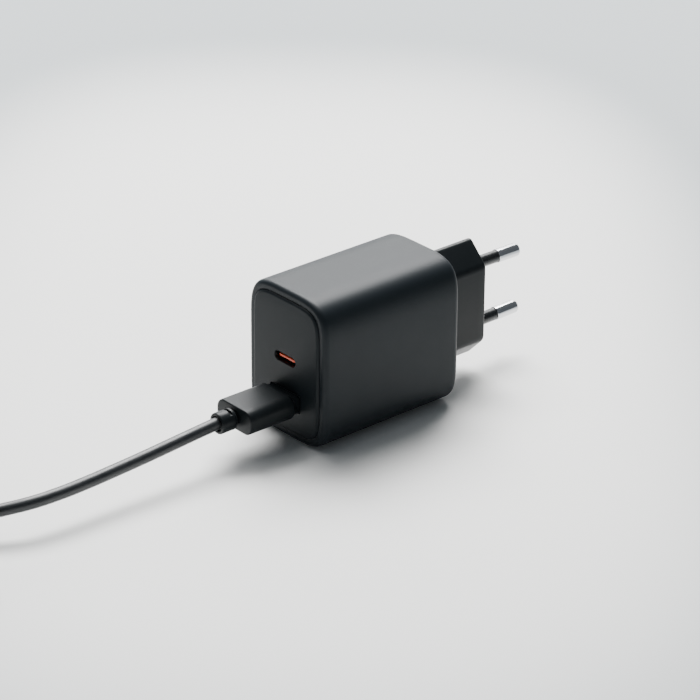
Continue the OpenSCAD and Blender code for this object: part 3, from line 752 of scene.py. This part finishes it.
def pin_frame(side):
    """Where a pin leaves the block, and the direction in which it points."""
    origin = Vector((0, BLOCK_END, BLOCK_Z + side * PITCH_BASE / 2))
    return origin, Vector((0, math.cos(lean), -side * math.sin(lean)))


def dome(radius, end, length, steps=10):
    """The last part of a turned profile: a round tip on the axis."""
    return [(max(ON_AXIS, radius * math.cos(math.pi / 2 * i / steps)),
             end - length + length * math.sin(math.pi / 2 * i / steps)) for i in range(steps + 1)]


pin_profile = [(ON_AXIS, -PIN_ROOT), (CORE_R - 0.2, -PIN_ROOT), (CORE_R, -PIN_ROOT + 0.2)]
pin_profile += [(CORE_R, -FLANGE_FROM), (FLANGE_R, -FLANGE_FROM)]
pin_profile += [(FLANGE_R, -FLANGE_TO), (CORE_R, -FLANGE_TO)]
pin_profile += [(CORE_R, SLEEVE_L + 0.02), (PIN_R - SHOULDER, SLEEVE_L + 0.02), (PIN_R, SLEEVE_L + 0.14)]
pin_profile += [(PIN_R, PIN_L - TIP_ROUND)]
pin_profile += [(PIN_R - TIP_ROUND + r, y) for r, y in dome(TIP_ROUND, PIN_L, TIP_ROUND)]
pin_profile += [(ON_AXIS, PIN_L)]
sleeve_profile = [(CORE_R + FIT, -SEAT + 0.03), (SLEEVE_R, -SEAT + 0.03), (SLEEVE_R, SLEEVE_L - 0.2),
                  (SLEEVE_R - 0.03, SLEEVE_L - 0.08), (SLEEVE_R - 0.14, SLEEVE_L), (CORE_R + FIT, SLEEVE_L)]
seat_profile = [(SLEEVE_R + 0.1, -SEAT), (SLEEVE_R + 0.1, 0.5), (SLEEVE_R + 0.35, 0.75)]
for side, word in ((1, "upper"), (-1, "lower")):
    origin, axis = pin_frame(side)
    carve(plug_block, solid("seat_cutter", lathe_rings(seat_profile, origin, axis), BLOCK))
    pin = solid("pin_" + word, lathe_rings(pin_profile, origin, axis), PIN_NICKEL)
    place(pin, "charger", "pin_nickel", "plug_pin_" + word)
    sleeve = solid("sleeve_" + word, lathe_rings(sleeve_profile, origin, axis), SLEEVE, closed=True)
    place(sleeve, "charger", "sleeve_plastic", "pin_sleeve_" + word)
place(plug_block, "charger", "block_plastic", "plug_block")

# %% [markdown]
# ## Repeating small parts
#
# Contacts and strain-relief collars repeat one shape along a line. An Array modifier could do it,
# but it can't make each copy a little smaller. So Geometry Nodes make a line of points, with one
# instance on each, and a size that can change from the first to the last. The result is turned
# into a plain mesh at the end.

# %% Row maker
def row_tree():
    """Geometry Nodes that put a shape on the points of a line, scaling it from first to last."""
    tree = bpy.data.node_groups.new("row_of_parts", "GeometryNodeTree")
    face = tree.interface
    face.new_socket("Shape", in_out="INPUT", socket_type="NodeSocketObject")
    face.new_socket("Count", in_out="INPUT", socket_type="NodeSocketInt")
    face.new_socket("Start", in_out="INPUT", socket_type="NodeSocketVector")
    face.new_socket("Step", in_out="INPUT", socket_type="NodeSocketVector")
    face.new_socket("Last Scale", in_out="INPUT", socket_type="NodeSocketVector")
    face.new_socket("Finish", in_out="INPUT", socket_type="NodeSocketMaterial")
    face.new_socket("Geometry", in_out="OUTPUT", socket_type="NodeSocketGeometry")
    given = add(tree, "NodeGroupInput").outputs
    line = add(tree, "GeometryNodeMeshLine", {"Count": given["Count"], "Start Location": given["Start"],
                                              "Offset": given["Step"]})
    shape = add(tree, "GeometryNodeObjectInfo", {"Object": given["Shape"]})
    last = add(tree, "ShaderNodeMath", {0: given["Count"], 1: 1.0}, operation="SUBTRACT")
    share = add(tree, "ShaderNodeMath", {0: add(tree, "GeometryNodeInputIndex").outputs["Index"],
                                         1: last.outputs["Value"]}, operation="DIVIDE")
    size = add(tree, "ShaderNodeMix", {"Factor": share.outputs["Value"], 4: (1, 1, 1),
                                       5: given["Last Scale"]}, data_type="VECTOR")
    parts = add(tree, "GeometryNodeInstanceOnPoints", {"Points": line.outputs["Mesh"],
                                                       "Instance": shape.outputs["Geometry"],
                                                       "Scale": size.outputs[1]})
    real = add(tree, "GeometryNodeRealizeInstances", {"Geometry": parts.outputs["Instances"]})
    painted = add(tree, "GeometryNodeSetMaterial", {"Geometry": real.outputs["Geometry"],
                                                    "Material": given["Finish"]})
    add(tree, "NodeGroupOutput", {"Geometry": painted.outputs["Geometry"]})
    return tree


ROW = row_tree()
print("row tree:", len(ROW.nodes), "nodes")


def row(name, shape, count, start, step, material, last_scale=(1, 1, 1)):
    """A row of copies of a shape as one plain mesh. Start and step are in millimetres."""
    holder = bpy.data.objects.new(name, bpy.data.meshes.new(name))
    bpy.context.scene.collection.objects.link(holder)
    modifier = holder.modifiers.new("row", "NODES")
    modifier.node_group = ROW
    values = {"Shape": shape, "Count": count, "Start": Vector(start) * MM, "Step": Vector(step) * MM,
              "Last Scale": Vector(last_scale), "Finish": material}
    for item in ROW.interface.items_tree:
        if item.name in values:
            modifier[item.identifier] = values[item.name]
    bake(holder)
    bpy.data.objects.remove(shape)
    return holder


def pad(name, width, length, thick, edge, material):
    """A small flat block with softened edges, its middle at the origin."""
    outline = soft_rectangle(width, thick, edge, 2, 3, 1)
    profile = [(edge, -length / 2), (0, -length / 2 + edge), (0, length / 2 - edge), (edge, length / 2)]
    return solid(name, loft(outline, profile, 0), material)


# %% [markdown]
# ## USB-C socket
#
# A USB-C socket is a drawn steel shell with a thin tongue in the middle. This maker moulds the
# tongue in orange, so that the fast-charging port can be told apart. Tongue and shell are lofted
# like the housing. Twelve gilt contacts lie on each side of the tongue, from the row maker.

# %% USB-C tongue
tongue_low, tongue_high = mm_box("usb_c_tongue")
TONGUE_W = 6.7
TONGUE_T = 0.9
TONGUE_TIP = tongue_low.y - 0.5
TONGUE_BASE = FRONT + 8
BASE_W, BASE_H, BASE_CORNER = 8.38, 2.6, 1.28
tongue_outline = soft_rectangle(TONGUE_W, TONGUE_T, 0.3, 2, 5, 4)
tongue_profile = quarter(0.28, TONGUE_TIP, 0, TONGUE_TIP + 0.4, 5) + [(0, TONGUE_BASE + 1)]
tongue = solid("usb_c_tongue_blade", loft(tongue_outline, tongue_profile, port_c_z), ORANGE)
base_outline = soft_rectangle(BASE_W, BASE_H, BASE_CORNER, 2, 10, 4)
base_profile = [(0.1, TONGUE_BASE), (0, TONGUE_BASE + 0.1), (0, tongue_high.y)]
base = solid("usb_c_base", loft(base_outline, base_profile, port_c_z), ORANGE)
carve(tongue, base, "UNION")
place(tongue, "charger", "orange_plastic", "usb_c_tongue")

# %% USB-C contacts
CONTACTS = 12
CONTACT_PITCH = 0.5
CONTACT_W, CONTACT_L, CONTACT_T = 0.26, 5.6, 0.06
CONTACT_Y = FRONT + 4.7
rows_of_contacts = []
for side in (-1, 1):
    shape = pad("contact", CONTACT_W, CONTACT_L, CONTACT_T, 0.02, GOLD)
    contact_z = port_c_z + side * (TONGUE_T / 2 + CONTACT_T / 2)
    start = (-(CONTACTS - 1) / 2 * CONTACT_PITCH, CONTACT_Y, contact_z)
    rows_of_contacts.append(row(f"contacts_{side}", shape, CONTACTS, start, (CONTACT_PITCH, 0, 0), GOLD))
place(joined("usb_c_contact_rows", *rows_of_contacts), "charger", "gold_contact", "usb_c_contacts")

# %% USB-C shell
SOCKET_W, SOCKET_H, SOCKET_CORNER = 8.94, 3.16, 1.57
SOCKET_T = 0.25
socket_outline = soft_rectangle(SOCKET_W, SOCKET_H, SOCKET_CORNER, 2, 14, 4)
socket_profile = [(SOCKET_T, c_high.y), (SOCKET_T, c_low.y + 0.4), (0.2, c_low.y + 0.12), (0.1, c_low.y),
                  (0.03, c_low.y + 0.04), (0, c_low.y + 0.15), (0, c_high.y)]
# The socket's near-black finish is painted shade inside the port.
socket = solid("usb_c_socket", loft(socket_outline, socket_profile, port_c_z), PORT_SHADE_STEEL, closed=True)
place(socket, "charger", "port_steel", "usb_c_shell")

# %% [markdown]
# ## Lead: plug
#
# The lead's plug is a folded steel shell with two latching windows on each side, overmoulded with
# a soft black cover. The cover's end towards the port is rounded more than the end at the cord,
# and a short neck goes into the opening. Each is a loft, and the windows are cut right through.

# %% Lead plug shell
plug_low, plug_high = mm_box("lead_plug_shell")
cover_low, cover_high = mm_box("lead_plug_cover")
PLUG_W, PLUG_H, PLUG_CORNER = 12.0, 4.5, 0.5
PLUG_T = 0.3
WINDOW_W, WINDOW_L = 2.5, 2
WINDOW_X = 3
WINDOW_FROM = 4.2
plug_outline = soft_rectangle(PLUG_W, PLUG_H, PLUG_CORNER, 2, 5, 6)
plug_profile = [(PLUG_T, plug_low.y), (PLUG_T, plug_high.y - 0.05), (0.24, plug_high.y), (0.1, plug_high.y),
                (0, plug_high.y - 0.12), (0, plug_low.y)]
plug_shell = solid("lead_plug_tube", loft(plug_outline, plug_profile, port_a_z), PORT_STEEL, closed=True)


def window_ring(x, z):
    """The outline of a latching window at this height."""
    left, right = x - WINDOW_W / 2, x + WINDOW_W / 2
    near = plug_low.y + WINDOW_FROM
    return [(left, near, z), (right, near, z), (right, near + WINDOW_L, z), (left, near + WINDOW_L, z)]


for x in (-WINDOW_X, WINDOW_X):
    through = [window_ring(x, port_a_z - 5), window_ring(x, port_a_z + 5)]
    carve(plug_shell, solid("window_cutter", through, PORT_STEEL))
place(plug_shell, "lead", "port_steel", "lead_plug_shell")

# %% Lead plug cover
COVER_W = cover_high.x - cover_low.x
COVER_H = cover_high.z - cover_low.z
NECK_END = cover_high.y
COVER_START = cover_low.y
COVER_END = FRONT - 1.9
COVER_CORNER = 3.2
NECK_W, NECK_H, NECK_CORNER = 12.4, 5.2, 1.0
cover_outline = soft_rectangle(COVER_W, COVER_H, COVER_CORNER, 2.1, 14, 6)
cover_profile = quarter(0.45, COVER_START, 0, COVER_START + 0.4, 6)
cover_profile += [(0, COVER_START + 4), (0, COVER_END - 4)]
cover_profile += quarter(0, COVER_END - 1.4, 1.5, COVER_END, 10, hollow=True)
cover = solid("lead_plug_cover_skin", loft(cover_outline, cover_profile, port_a_z), COVER)
neck_outline = soft_rectangle(NECK_W, NECK_H, NECK_CORNER, 2, 6, 6)
neck_profile = [(0, COVER_END - 2), (0, NECK_END - 0.2), (0.2, NECK_END)]
neck = solid("neck", loft(neck_outline, neck_profile, port_a_z), COVER)
carve(cover, neck, "UNION")
place(cover, "lead", "lead_plastic", "lead_plug_cover")

# %% [markdown]
# ## Lead: strain relief
#
# Behind the cover the cord runs through a flexible relief. Near the cover it is one round collar,
# set off by a deep groove, with a slot above and a slot below so that it can bend, and a hollow end
# from which the cord comes. One revolved profile gives all but the slots, which are cut. The far
# relief is ribbed and gets smaller towards the cord, so its ribs come from the row maker.

# %% Strain reliefs
RIB_EDGE = 0.25
CORE_START = -0.5


def relief(name, length, first_r, last_r, core_r, collars, collar_l, gap, material):
    """A ribbed relief along +Y from the origin, as one piece."""
    core_profile = [(ON_AXIS, CORE_START), (core_r, CORE_START), (core_r, length - 0.6),
                    (CORD_D / 2 + 0.12, length), (ON_AXIS, length)]
    core = solid("core", lathe_rings(core_profile, (0, 0, 0), (0, 1, 0), 40), material)
    rib_profile = [(core_r - 0.3, 0), (first_r - RIB_EDGE, 0), (first_r, RIB_EDGE),
                   (first_r, collar_l - RIB_EDGE), (first_r - RIB_EDGE, collar_l), (core_r - 0.3, collar_l)]
    rib = solid("collar", lathe_rings(rib_profile, (0, 0, 0), (0, 1, 0), 48), material, closed=True)
    share = last_r / first_r
    ribs = row("collars", rib, collars, (0, gap, 0), (0, collar_l + gap, 0), material, (share, 1, share))
    return joined(name, core, ribs)


def turned(piece, origin, axis):
    """Moves a piece that was drawn along +Y from the origin, in its mesh. Its top stays on top."""
    rotation = Vector(axis).to_track_quat("Y", "Z").to_matrix().to_4x4()
    piece.data.transform(Matrix.Translation(Vector(origin) * MM) @ rotation)
    return piece


# %% Near strain relief
relief_low, relief_high = mm_box("lead_strain_relief")
RELIEF_L = relief_high.y - relief_low.y
COLLAR_R = 3.1
GROOVE = 1.1
GROOVE_R = 2.1
SLOT_FROM, SLOT_TO = 1.9, 2.8
SLOT_DEPTH = 0.9
SLOT_HALF = 4
HOLLOW = 0.8
collar_profile = [(ON_AXIS, CORE_START), (GROOVE_R, CORE_START), (GROOVE_R, GROOVE)]
collar_profile += [(COLLAR_R - 0.2, GROOVE), (COLLAR_R, GROOVE + 0.2), (COLLAR_R, RELIEF_L - 0.35)]
collar_profile += [(COLLAR_R - 0.1, RELIEF_L - 0.1), (COLLAR_R - 0.3, RELIEF_L), (2.45, RELIEF_L)]
collar_profile += [(2.3, RELIEF_L - 0.1), (2.2, RELIEF_L - HOLLOW), (ON_AXIS, RELIEF_L - HOLLOW)]
near_relief = solid("near_relief", lathe_rings(collar_profile, (0, 0, 0), (0, 1, 0), 64), COVER)
for side in (-1, 1):
    corners = ((-SLOT_HALF, SLOT_FROM), (SLOT_HALF, SLOT_FROM), (SLOT_HALF, SLOT_TO), (-SLOT_HALF, SLOT_TO))
    slot_rings = [[(x, y, side * z) for x, y in corners] for z in (COLLAR_R - SLOT_DEPTH, COLLAR_R + 1)]
    carve(near_relief, solid("slot_cutter", slot_rings, COVER))
turned(near_relief, (0, COVER_START, port_a_z), (0, -1, 0))
place(near_relief, "lead", "lead_plastic", "lead_strain_relief")

# %% [markdown]
# ## Lead: small plug on the far end
#
# The other end carries a USB-C plug in the same black cover. It rests on top of the coil. All its
# parts are drawn along Y from the origin, where their sizes are easy to read, and then turned into
# the direction in which the cord ends.

# %% Far plug
far_axis = Vector((math.cos(FAR_TURN), math.sin(FAR_TURN), 0))
far_start = tail_points[-1]
FAR_RELIEF_L = 10.0
FAR_COVER_L = 18.0
FAR_COVER_W, FAR_COVER_CORNER = 11.6, 2.8
FAR_PLUG_L = 6.65
FAR_PLUG_W, FAR_PLUG_H, FAR_PLUG_CORNER = 8.34, 2.56, 1.27
FAR_PLUG_T = 0.3
far_relief = relief("far_relief", FAR_RELIEF_L, 2.2, 2.65, 1.95, 5, 1.5, 0.7, COVER)
turned(far_relief, far_start, far_axis)
place(far_relief, "lead", "lead_plastic", "far_strain_relief")

far_cover_outline = soft_rectangle(FAR_COVER_W, FAR_COVER_H, FAR_COVER_CORNER, 2.3, 12, 6)
far_cover_profile = quarter(1.0, 0, 0, 1.0, 8) + [(0, FAR_COVER_L - 2)]
far_cover_profile += quarter(0, FAR_COVER_L - 0.7, 0.7, FAR_COVER_L, 6, hollow=True)
far_cover = solid("far_plug_cover_skin", loft(far_cover_outline, far_cover_profile, 0), COVER)
turned(far_cover, far_start + far_axis * FAR_RELIEF_L, far_axis)
place(far_cover, "lead", "lead_plastic", "far_plug_cover")

far_plug_outline = soft_rectangle(FAR_PLUG_W, FAR_PLUG_H, FAR_PLUG_CORNER, 2, 12, 4)
far_plug_profile = [(FAR_PLUG_T, 0.05), (FAR_PLUG_T, FAR_PLUG_L - 0.1), (0.2, FAR_PLUG_L), (0.1, FAR_PLUG_L),
                    (0, FAR_PLUG_L - 0.15), (0, 0.05)]
far_plug = solid("far_plug_tube", loft(far_plug_outline, far_plug_profile, 0), PORT_STEEL, closed=True)
turned(far_plug, far_start + far_axis * (FAR_RELIEF_L + FAR_COVER_L), far_axis)
place(far_plug, "lead", "port_steel", "far_plug_shell")

# %% [markdown]
# ## Lead: tie
#
# A woven hook-and-loop strap keeps the turns together. It is wrapped tightly: at each direction
# round the bundle it touches the outermost cord, which is the shape a taut band takes. A cloth
# simulation could find that shape too, but a taut band is simple enough to work out.

# %% Tie
TIE_W = 6.0
TIE_EDGE = 0.12
TIE_SLACK = 0.02
TAB_STANDS = 0.55
# The strap's first edge lies at this angle round the coil, and its middle half a width further.
TIE_FROM = 221
TIE_ANGLE = math.radians(TIE_FROM) + TIE_W / COIL_MIDDLE_R / 2
corner_cords = [Vector((turn_radius(t), low_z + (0 if t < LOW_TURNS else LAYER_RISE)))
                for t in (0, LOW_TURNS - 1, LOW_TURNS, LOW_TURNS + HIGH_TURNS - 1)]


def around_bundle(angle, away):
    """A place on the taut band in this direction, this far from the outer cord's middle."""
    normal = Vector((math.cos(angle), math.sin(angle)))
    return max(corner_cords, key=lambda c: c.dot(normal)) + normal * away


def strap(name, first, last, inner, outer, steps, closed):
    """A band of the tie's width over part of the way round the bundle, angles in degrees."""
    out = Vector((math.cos(TIE_ANGLE), math.sin(TIE_ANGLE), 0))
    side = Vector((-out.y, out.x, 0))
    half = TIE_W / 2
    section = [(-half, inner), (half, inner), (half, outer - TIE_EDGE), (half - TIE_EDGE, outer),
               (-half + TIE_EDGE, outer), (-half, outer - TIE_EDGE)]
    rings = []
    for i in range(steps):
        angle = math.radians(first + (last - first) * i / (steps if closed else steps - 1))
        ring = []
        for across, away in section:
            on_band = around_bundle(angle, CORD_D / 2 + away)
            ring.append(tuple(COIL_CENTRE + out * on_band.x + side * across + Vector((0, 0, on_band.y))))
        rings.append(ring)
    return solid(name, rings, TIE_WEAVE, closed)


band = strap("band", 0, 360, TIE_SLACK, TIE_T - TIE_SLACK, 96, True)
tab = strap("tab", 20, 100, TIE_T - 0.03, TIE_T + TAB_STANDS, 30, False)
tie = joined("cord_tie_strap", band, tab)
place(tie, "lead", "tie_strap", "cord_tie")

# %% [markdown]
# ## Lead: cord
#
# The curve that was drawn first gets the cord's finish and rides on the lead, in place of the CAD
# nodes of the cord.

cord.data.materials.append(CORD_PVC)
place(cord, "lead", "cord_pvc", "cord_run", "cord_coil", "cord_tail")

# %% [markdown]
# ## Inside
#
# The boards and the parts on them keep their CAD shape, because nothing of them shows from outside.
# Each gets the finish of the real part. One table says which nodes share a finish. A second one
# gives the nodes that finished pieces stand for the same finish as those pieces.

# %% Materials of the CAD nodes
INSIDE = {
    CIRCUIT_BOARD: ["main_board", "port_board"],
    BLACK_RESIN: ["board_link", "usb_a_insulator", "bridge_rectifier", "switch_controller",
                  "port_controller", "chip_resistors", "transformer_bobbin"],
    # The port shells' near-black finish is painted shade inside the ports.
    PORT_SHADE_STEEL: ["usb_a_shell"],
    GOLD: ["usb_a_contacts", "lead_plug_contacts", "far_plug_contacts"],
    FERRITE: ["transformer_core", "choke_core", "output_inductor"],
    TAPE: ["transformer_winding"],
    COPPER: ["choke_winding"],
    BRONZE: ["pin_contact_upper", "pin_contact_lower"],
    CAP_SLEEVE: ["input_capacitor_upper", "input_capacitor_lower"],
    ALUMINIUM: ["output_capacitor_rear", "output_capacitor_front", "heat_spreader"],
    YELLOW_CASE: ["x_capacitor"],
    BLUE_DIP: ["y_capacitor", "varistor"],
    CERAMIC: ["fuse"],
    WHITE_RESIN: ["optocoupler", "lead_plug_insulator"],
    SILICONE: ["thermal_pad"],
    FILM: ["insulating_film"],
}
STOOD_FOR = {
    HOUSING: ["housing_shell"],
    PANEL: ["front_panel"],
    BLOCK: ["plug_block"],
    PIN_NICKEL: ["plug_pin_upper", "plug_pin_lower"],
    SLEEVE: ["pin_sleeve_upper", "pin_sleeve_lower"],
    PORT_SHADE_STEEL: ["usb_c_shell"],
    ORANGE: ["usb_c_tongue"],
    GOLD: ["usb_c_contacts"],
    PORT_STEEL: ["lead_plug_shell", "far_plug_shell"],
    COVER: ["lead_plug_cover", "lead_strain_relief", "far_strain_relief", "far_plug_cover"],
    CORD_PVC: ["cord_run", "cord_coil", "cord_tail"],
    TIE_WEAVE: ["cord_tie"],
}
for table in (INSIDE, STOOD_FOR):
    for material, names in table.items():
        for name in names:
            NODES[name].data.materials.clear()
            NODES[name].data.materials.append(material)
finished_nodes = sum(len(names) for table in (INSIDE, STOOD_FOR) for names in table.values())
print("nodes with a finish:", finished_nodes, "of", len(NODES))

# %% [markdown]
# ## Studio
#
# The charger stands on a pale sheet of backdrop paper. Its colour is painted a shade darker away from
# the product: a painted falloff of light round the charger, which keeps the eye in the middle. The
# painted shade is a soft-cornered oval on the paper, the sum of two cubes, turned once so that it lies
# across and along the main view. It stays there when the camera moves.
#
# Four soft boxes light it. The key light stands high behind and to the left, and throws the soft
# shadow forwards. A low panel behind is what the top face mirrors. A weak box overhead and a weaker
# one in front open up the shadows and the ports. A cool, pale room fills the rest.

# %% Backdrop paper
PAPER, paper_tree, paper_shader, paper_where = new_material("graduated_backdrop_paper",
                                                            Roughness=0.9, IOR=1.4)
POOL_HALF_ACROSS = 100
POOL_HALF_ALONG = 180
PAPER_TONE_MM = 180
FLOOR_HALF = 4000
FLOOR_Z = -0.02
pool = add(paper_tree, "ShaderNodeMapping", {"Vector": paper_where, "Location": (0.03, -0.03, 0),
                                             "Rotation": (0, 0, math.radians(-CAMERA_AZIMUTH))})
part = add(paper_tree, "ShaderNodeSeparateXYZ", {"Vector": pool.outputs["Vector"]})
cubes = []
for axis, half in (("X", POOL_HALF_ACROSS), ("Y", POOL_HALF_ALONG)):
    away = add(paper_tree, "ShaderNodeMath", {0: part.outputs[axis], 1: half * MM}, operation="DIVIDE")
    away = add(paper_tree, "ShaderNodeMath", {0: away.outputs["Value"]}, operation="ABSOLUTE")
    cubes.append(add(paper_tree, "ShaderNodeMath", {0: away.outputs["Value"], 1: 3.0}, operation="POWER"))
total = add(paper_tree, "ShaderNodeMath", {0: cubes[0].outputs["Value"], 1: cubes[1].outputs["Value"]},
            operation="ADD")
# Painted shade: the paper's colour darkens from the middle outwards, as light falls off.
painted_falloff = add(paper_tree, "ShaderNodeMapRange", {"Value": total.outputs["Value"], "From Min": 0.2,
                                               "From Max": 3.0}, interpolation_type="SMOOTHSTEP")
paper_tone = add(paper_tree, "ShaderNodeTexNoise", {"Vector": paper_where,
                                                    "Scale": waves_per_metre(PAPER_TONE_MM), "Detail": 2.0})
paper_mix = add(paper_tree, "ShaderNodeMix", {"Factor": paper_tone.outputs["Fac"], "A": linear("#e7e7e5"),
                                              "B": linear("#eaeae8")}, data_type="RGBA")
# The darker tone #a4a9ab is painted shade, mixed in by the painted falloff.
paper_falloff_tone = add(paper_tree, "ShaderNodeMix", {"Factor": painted_falloff.outputs["Result"],
                                           "A": paper_mix.outputs["Result"],
                                           "B": linear("#a4a9ab")}, data_type="RGBA")
paper_tree.links.new(paper_falloff_tone.outputs["Result"], paper_shader.inputs["Base Color"])
bm = bmesh.new()
signs = ((-1, -1), (1, -1), (1, 1), (-1, 1))
bm.faces.new([bm.verts.new(Vector((sx * FLOOR_HALF, sy * FLOOR_HALF, FLOOR_Z)) * MM) for sx, sy in signs])
floor = finish_mesh("floor", bm, PAPER)
print("floor side:", 2 * FLOOR_HALF * MM, "m")

# %% Lights
def soft_box(name, azimuth, elevation, distance, width, height, power):
    """A rectangular area light that looks at the charger. Angles in degrees, sizes in metres."""
    data = bpy.data.lights.new(name, "AREA")
    data.shape = "RECTANGLE"
    data.size = width
    data.size_y = height
    data.energy = power
    lamp = bpy.data.objects.new(name, data)
    bpy.context.scene.collection.objects.link(lamp)
    toward = direction(azimuth, elevation)
    lamp.location = LOOK_AT + toward * distance
    lamp.rotation_mode = "QUATERNION"
    lamp.rotation_quaternion = toward.to_track_quat("Z", "Y")
    return lamp


key = soft_box("key_box", 234, 55, 1.6, 1.2, 0.9, 100)
top = soft_box("top_box", 320, 72, 1.7, 1.0, 1.0, 5)
fill = soft_box("front_fill", 20, 25, 2.4, 1.2, 1.0, 0.8)
back = soft_box("back_panel", 229, 20, 1.6, 1.6, 0.5, 17)

# %% Room
world = bpy.data.worlds.new("pale_room")
bpy.context.scene.world = world
world.use_nodes = True
room = world.node_tree.nodes["Background"]
room.inputs["Color"].default_value = linear("#dfeaf4")
room.inputs["Strength"].default_value = 0.18
print("lights:", [lamp.name for lamp in (key, top, fill, back)], "and the room")
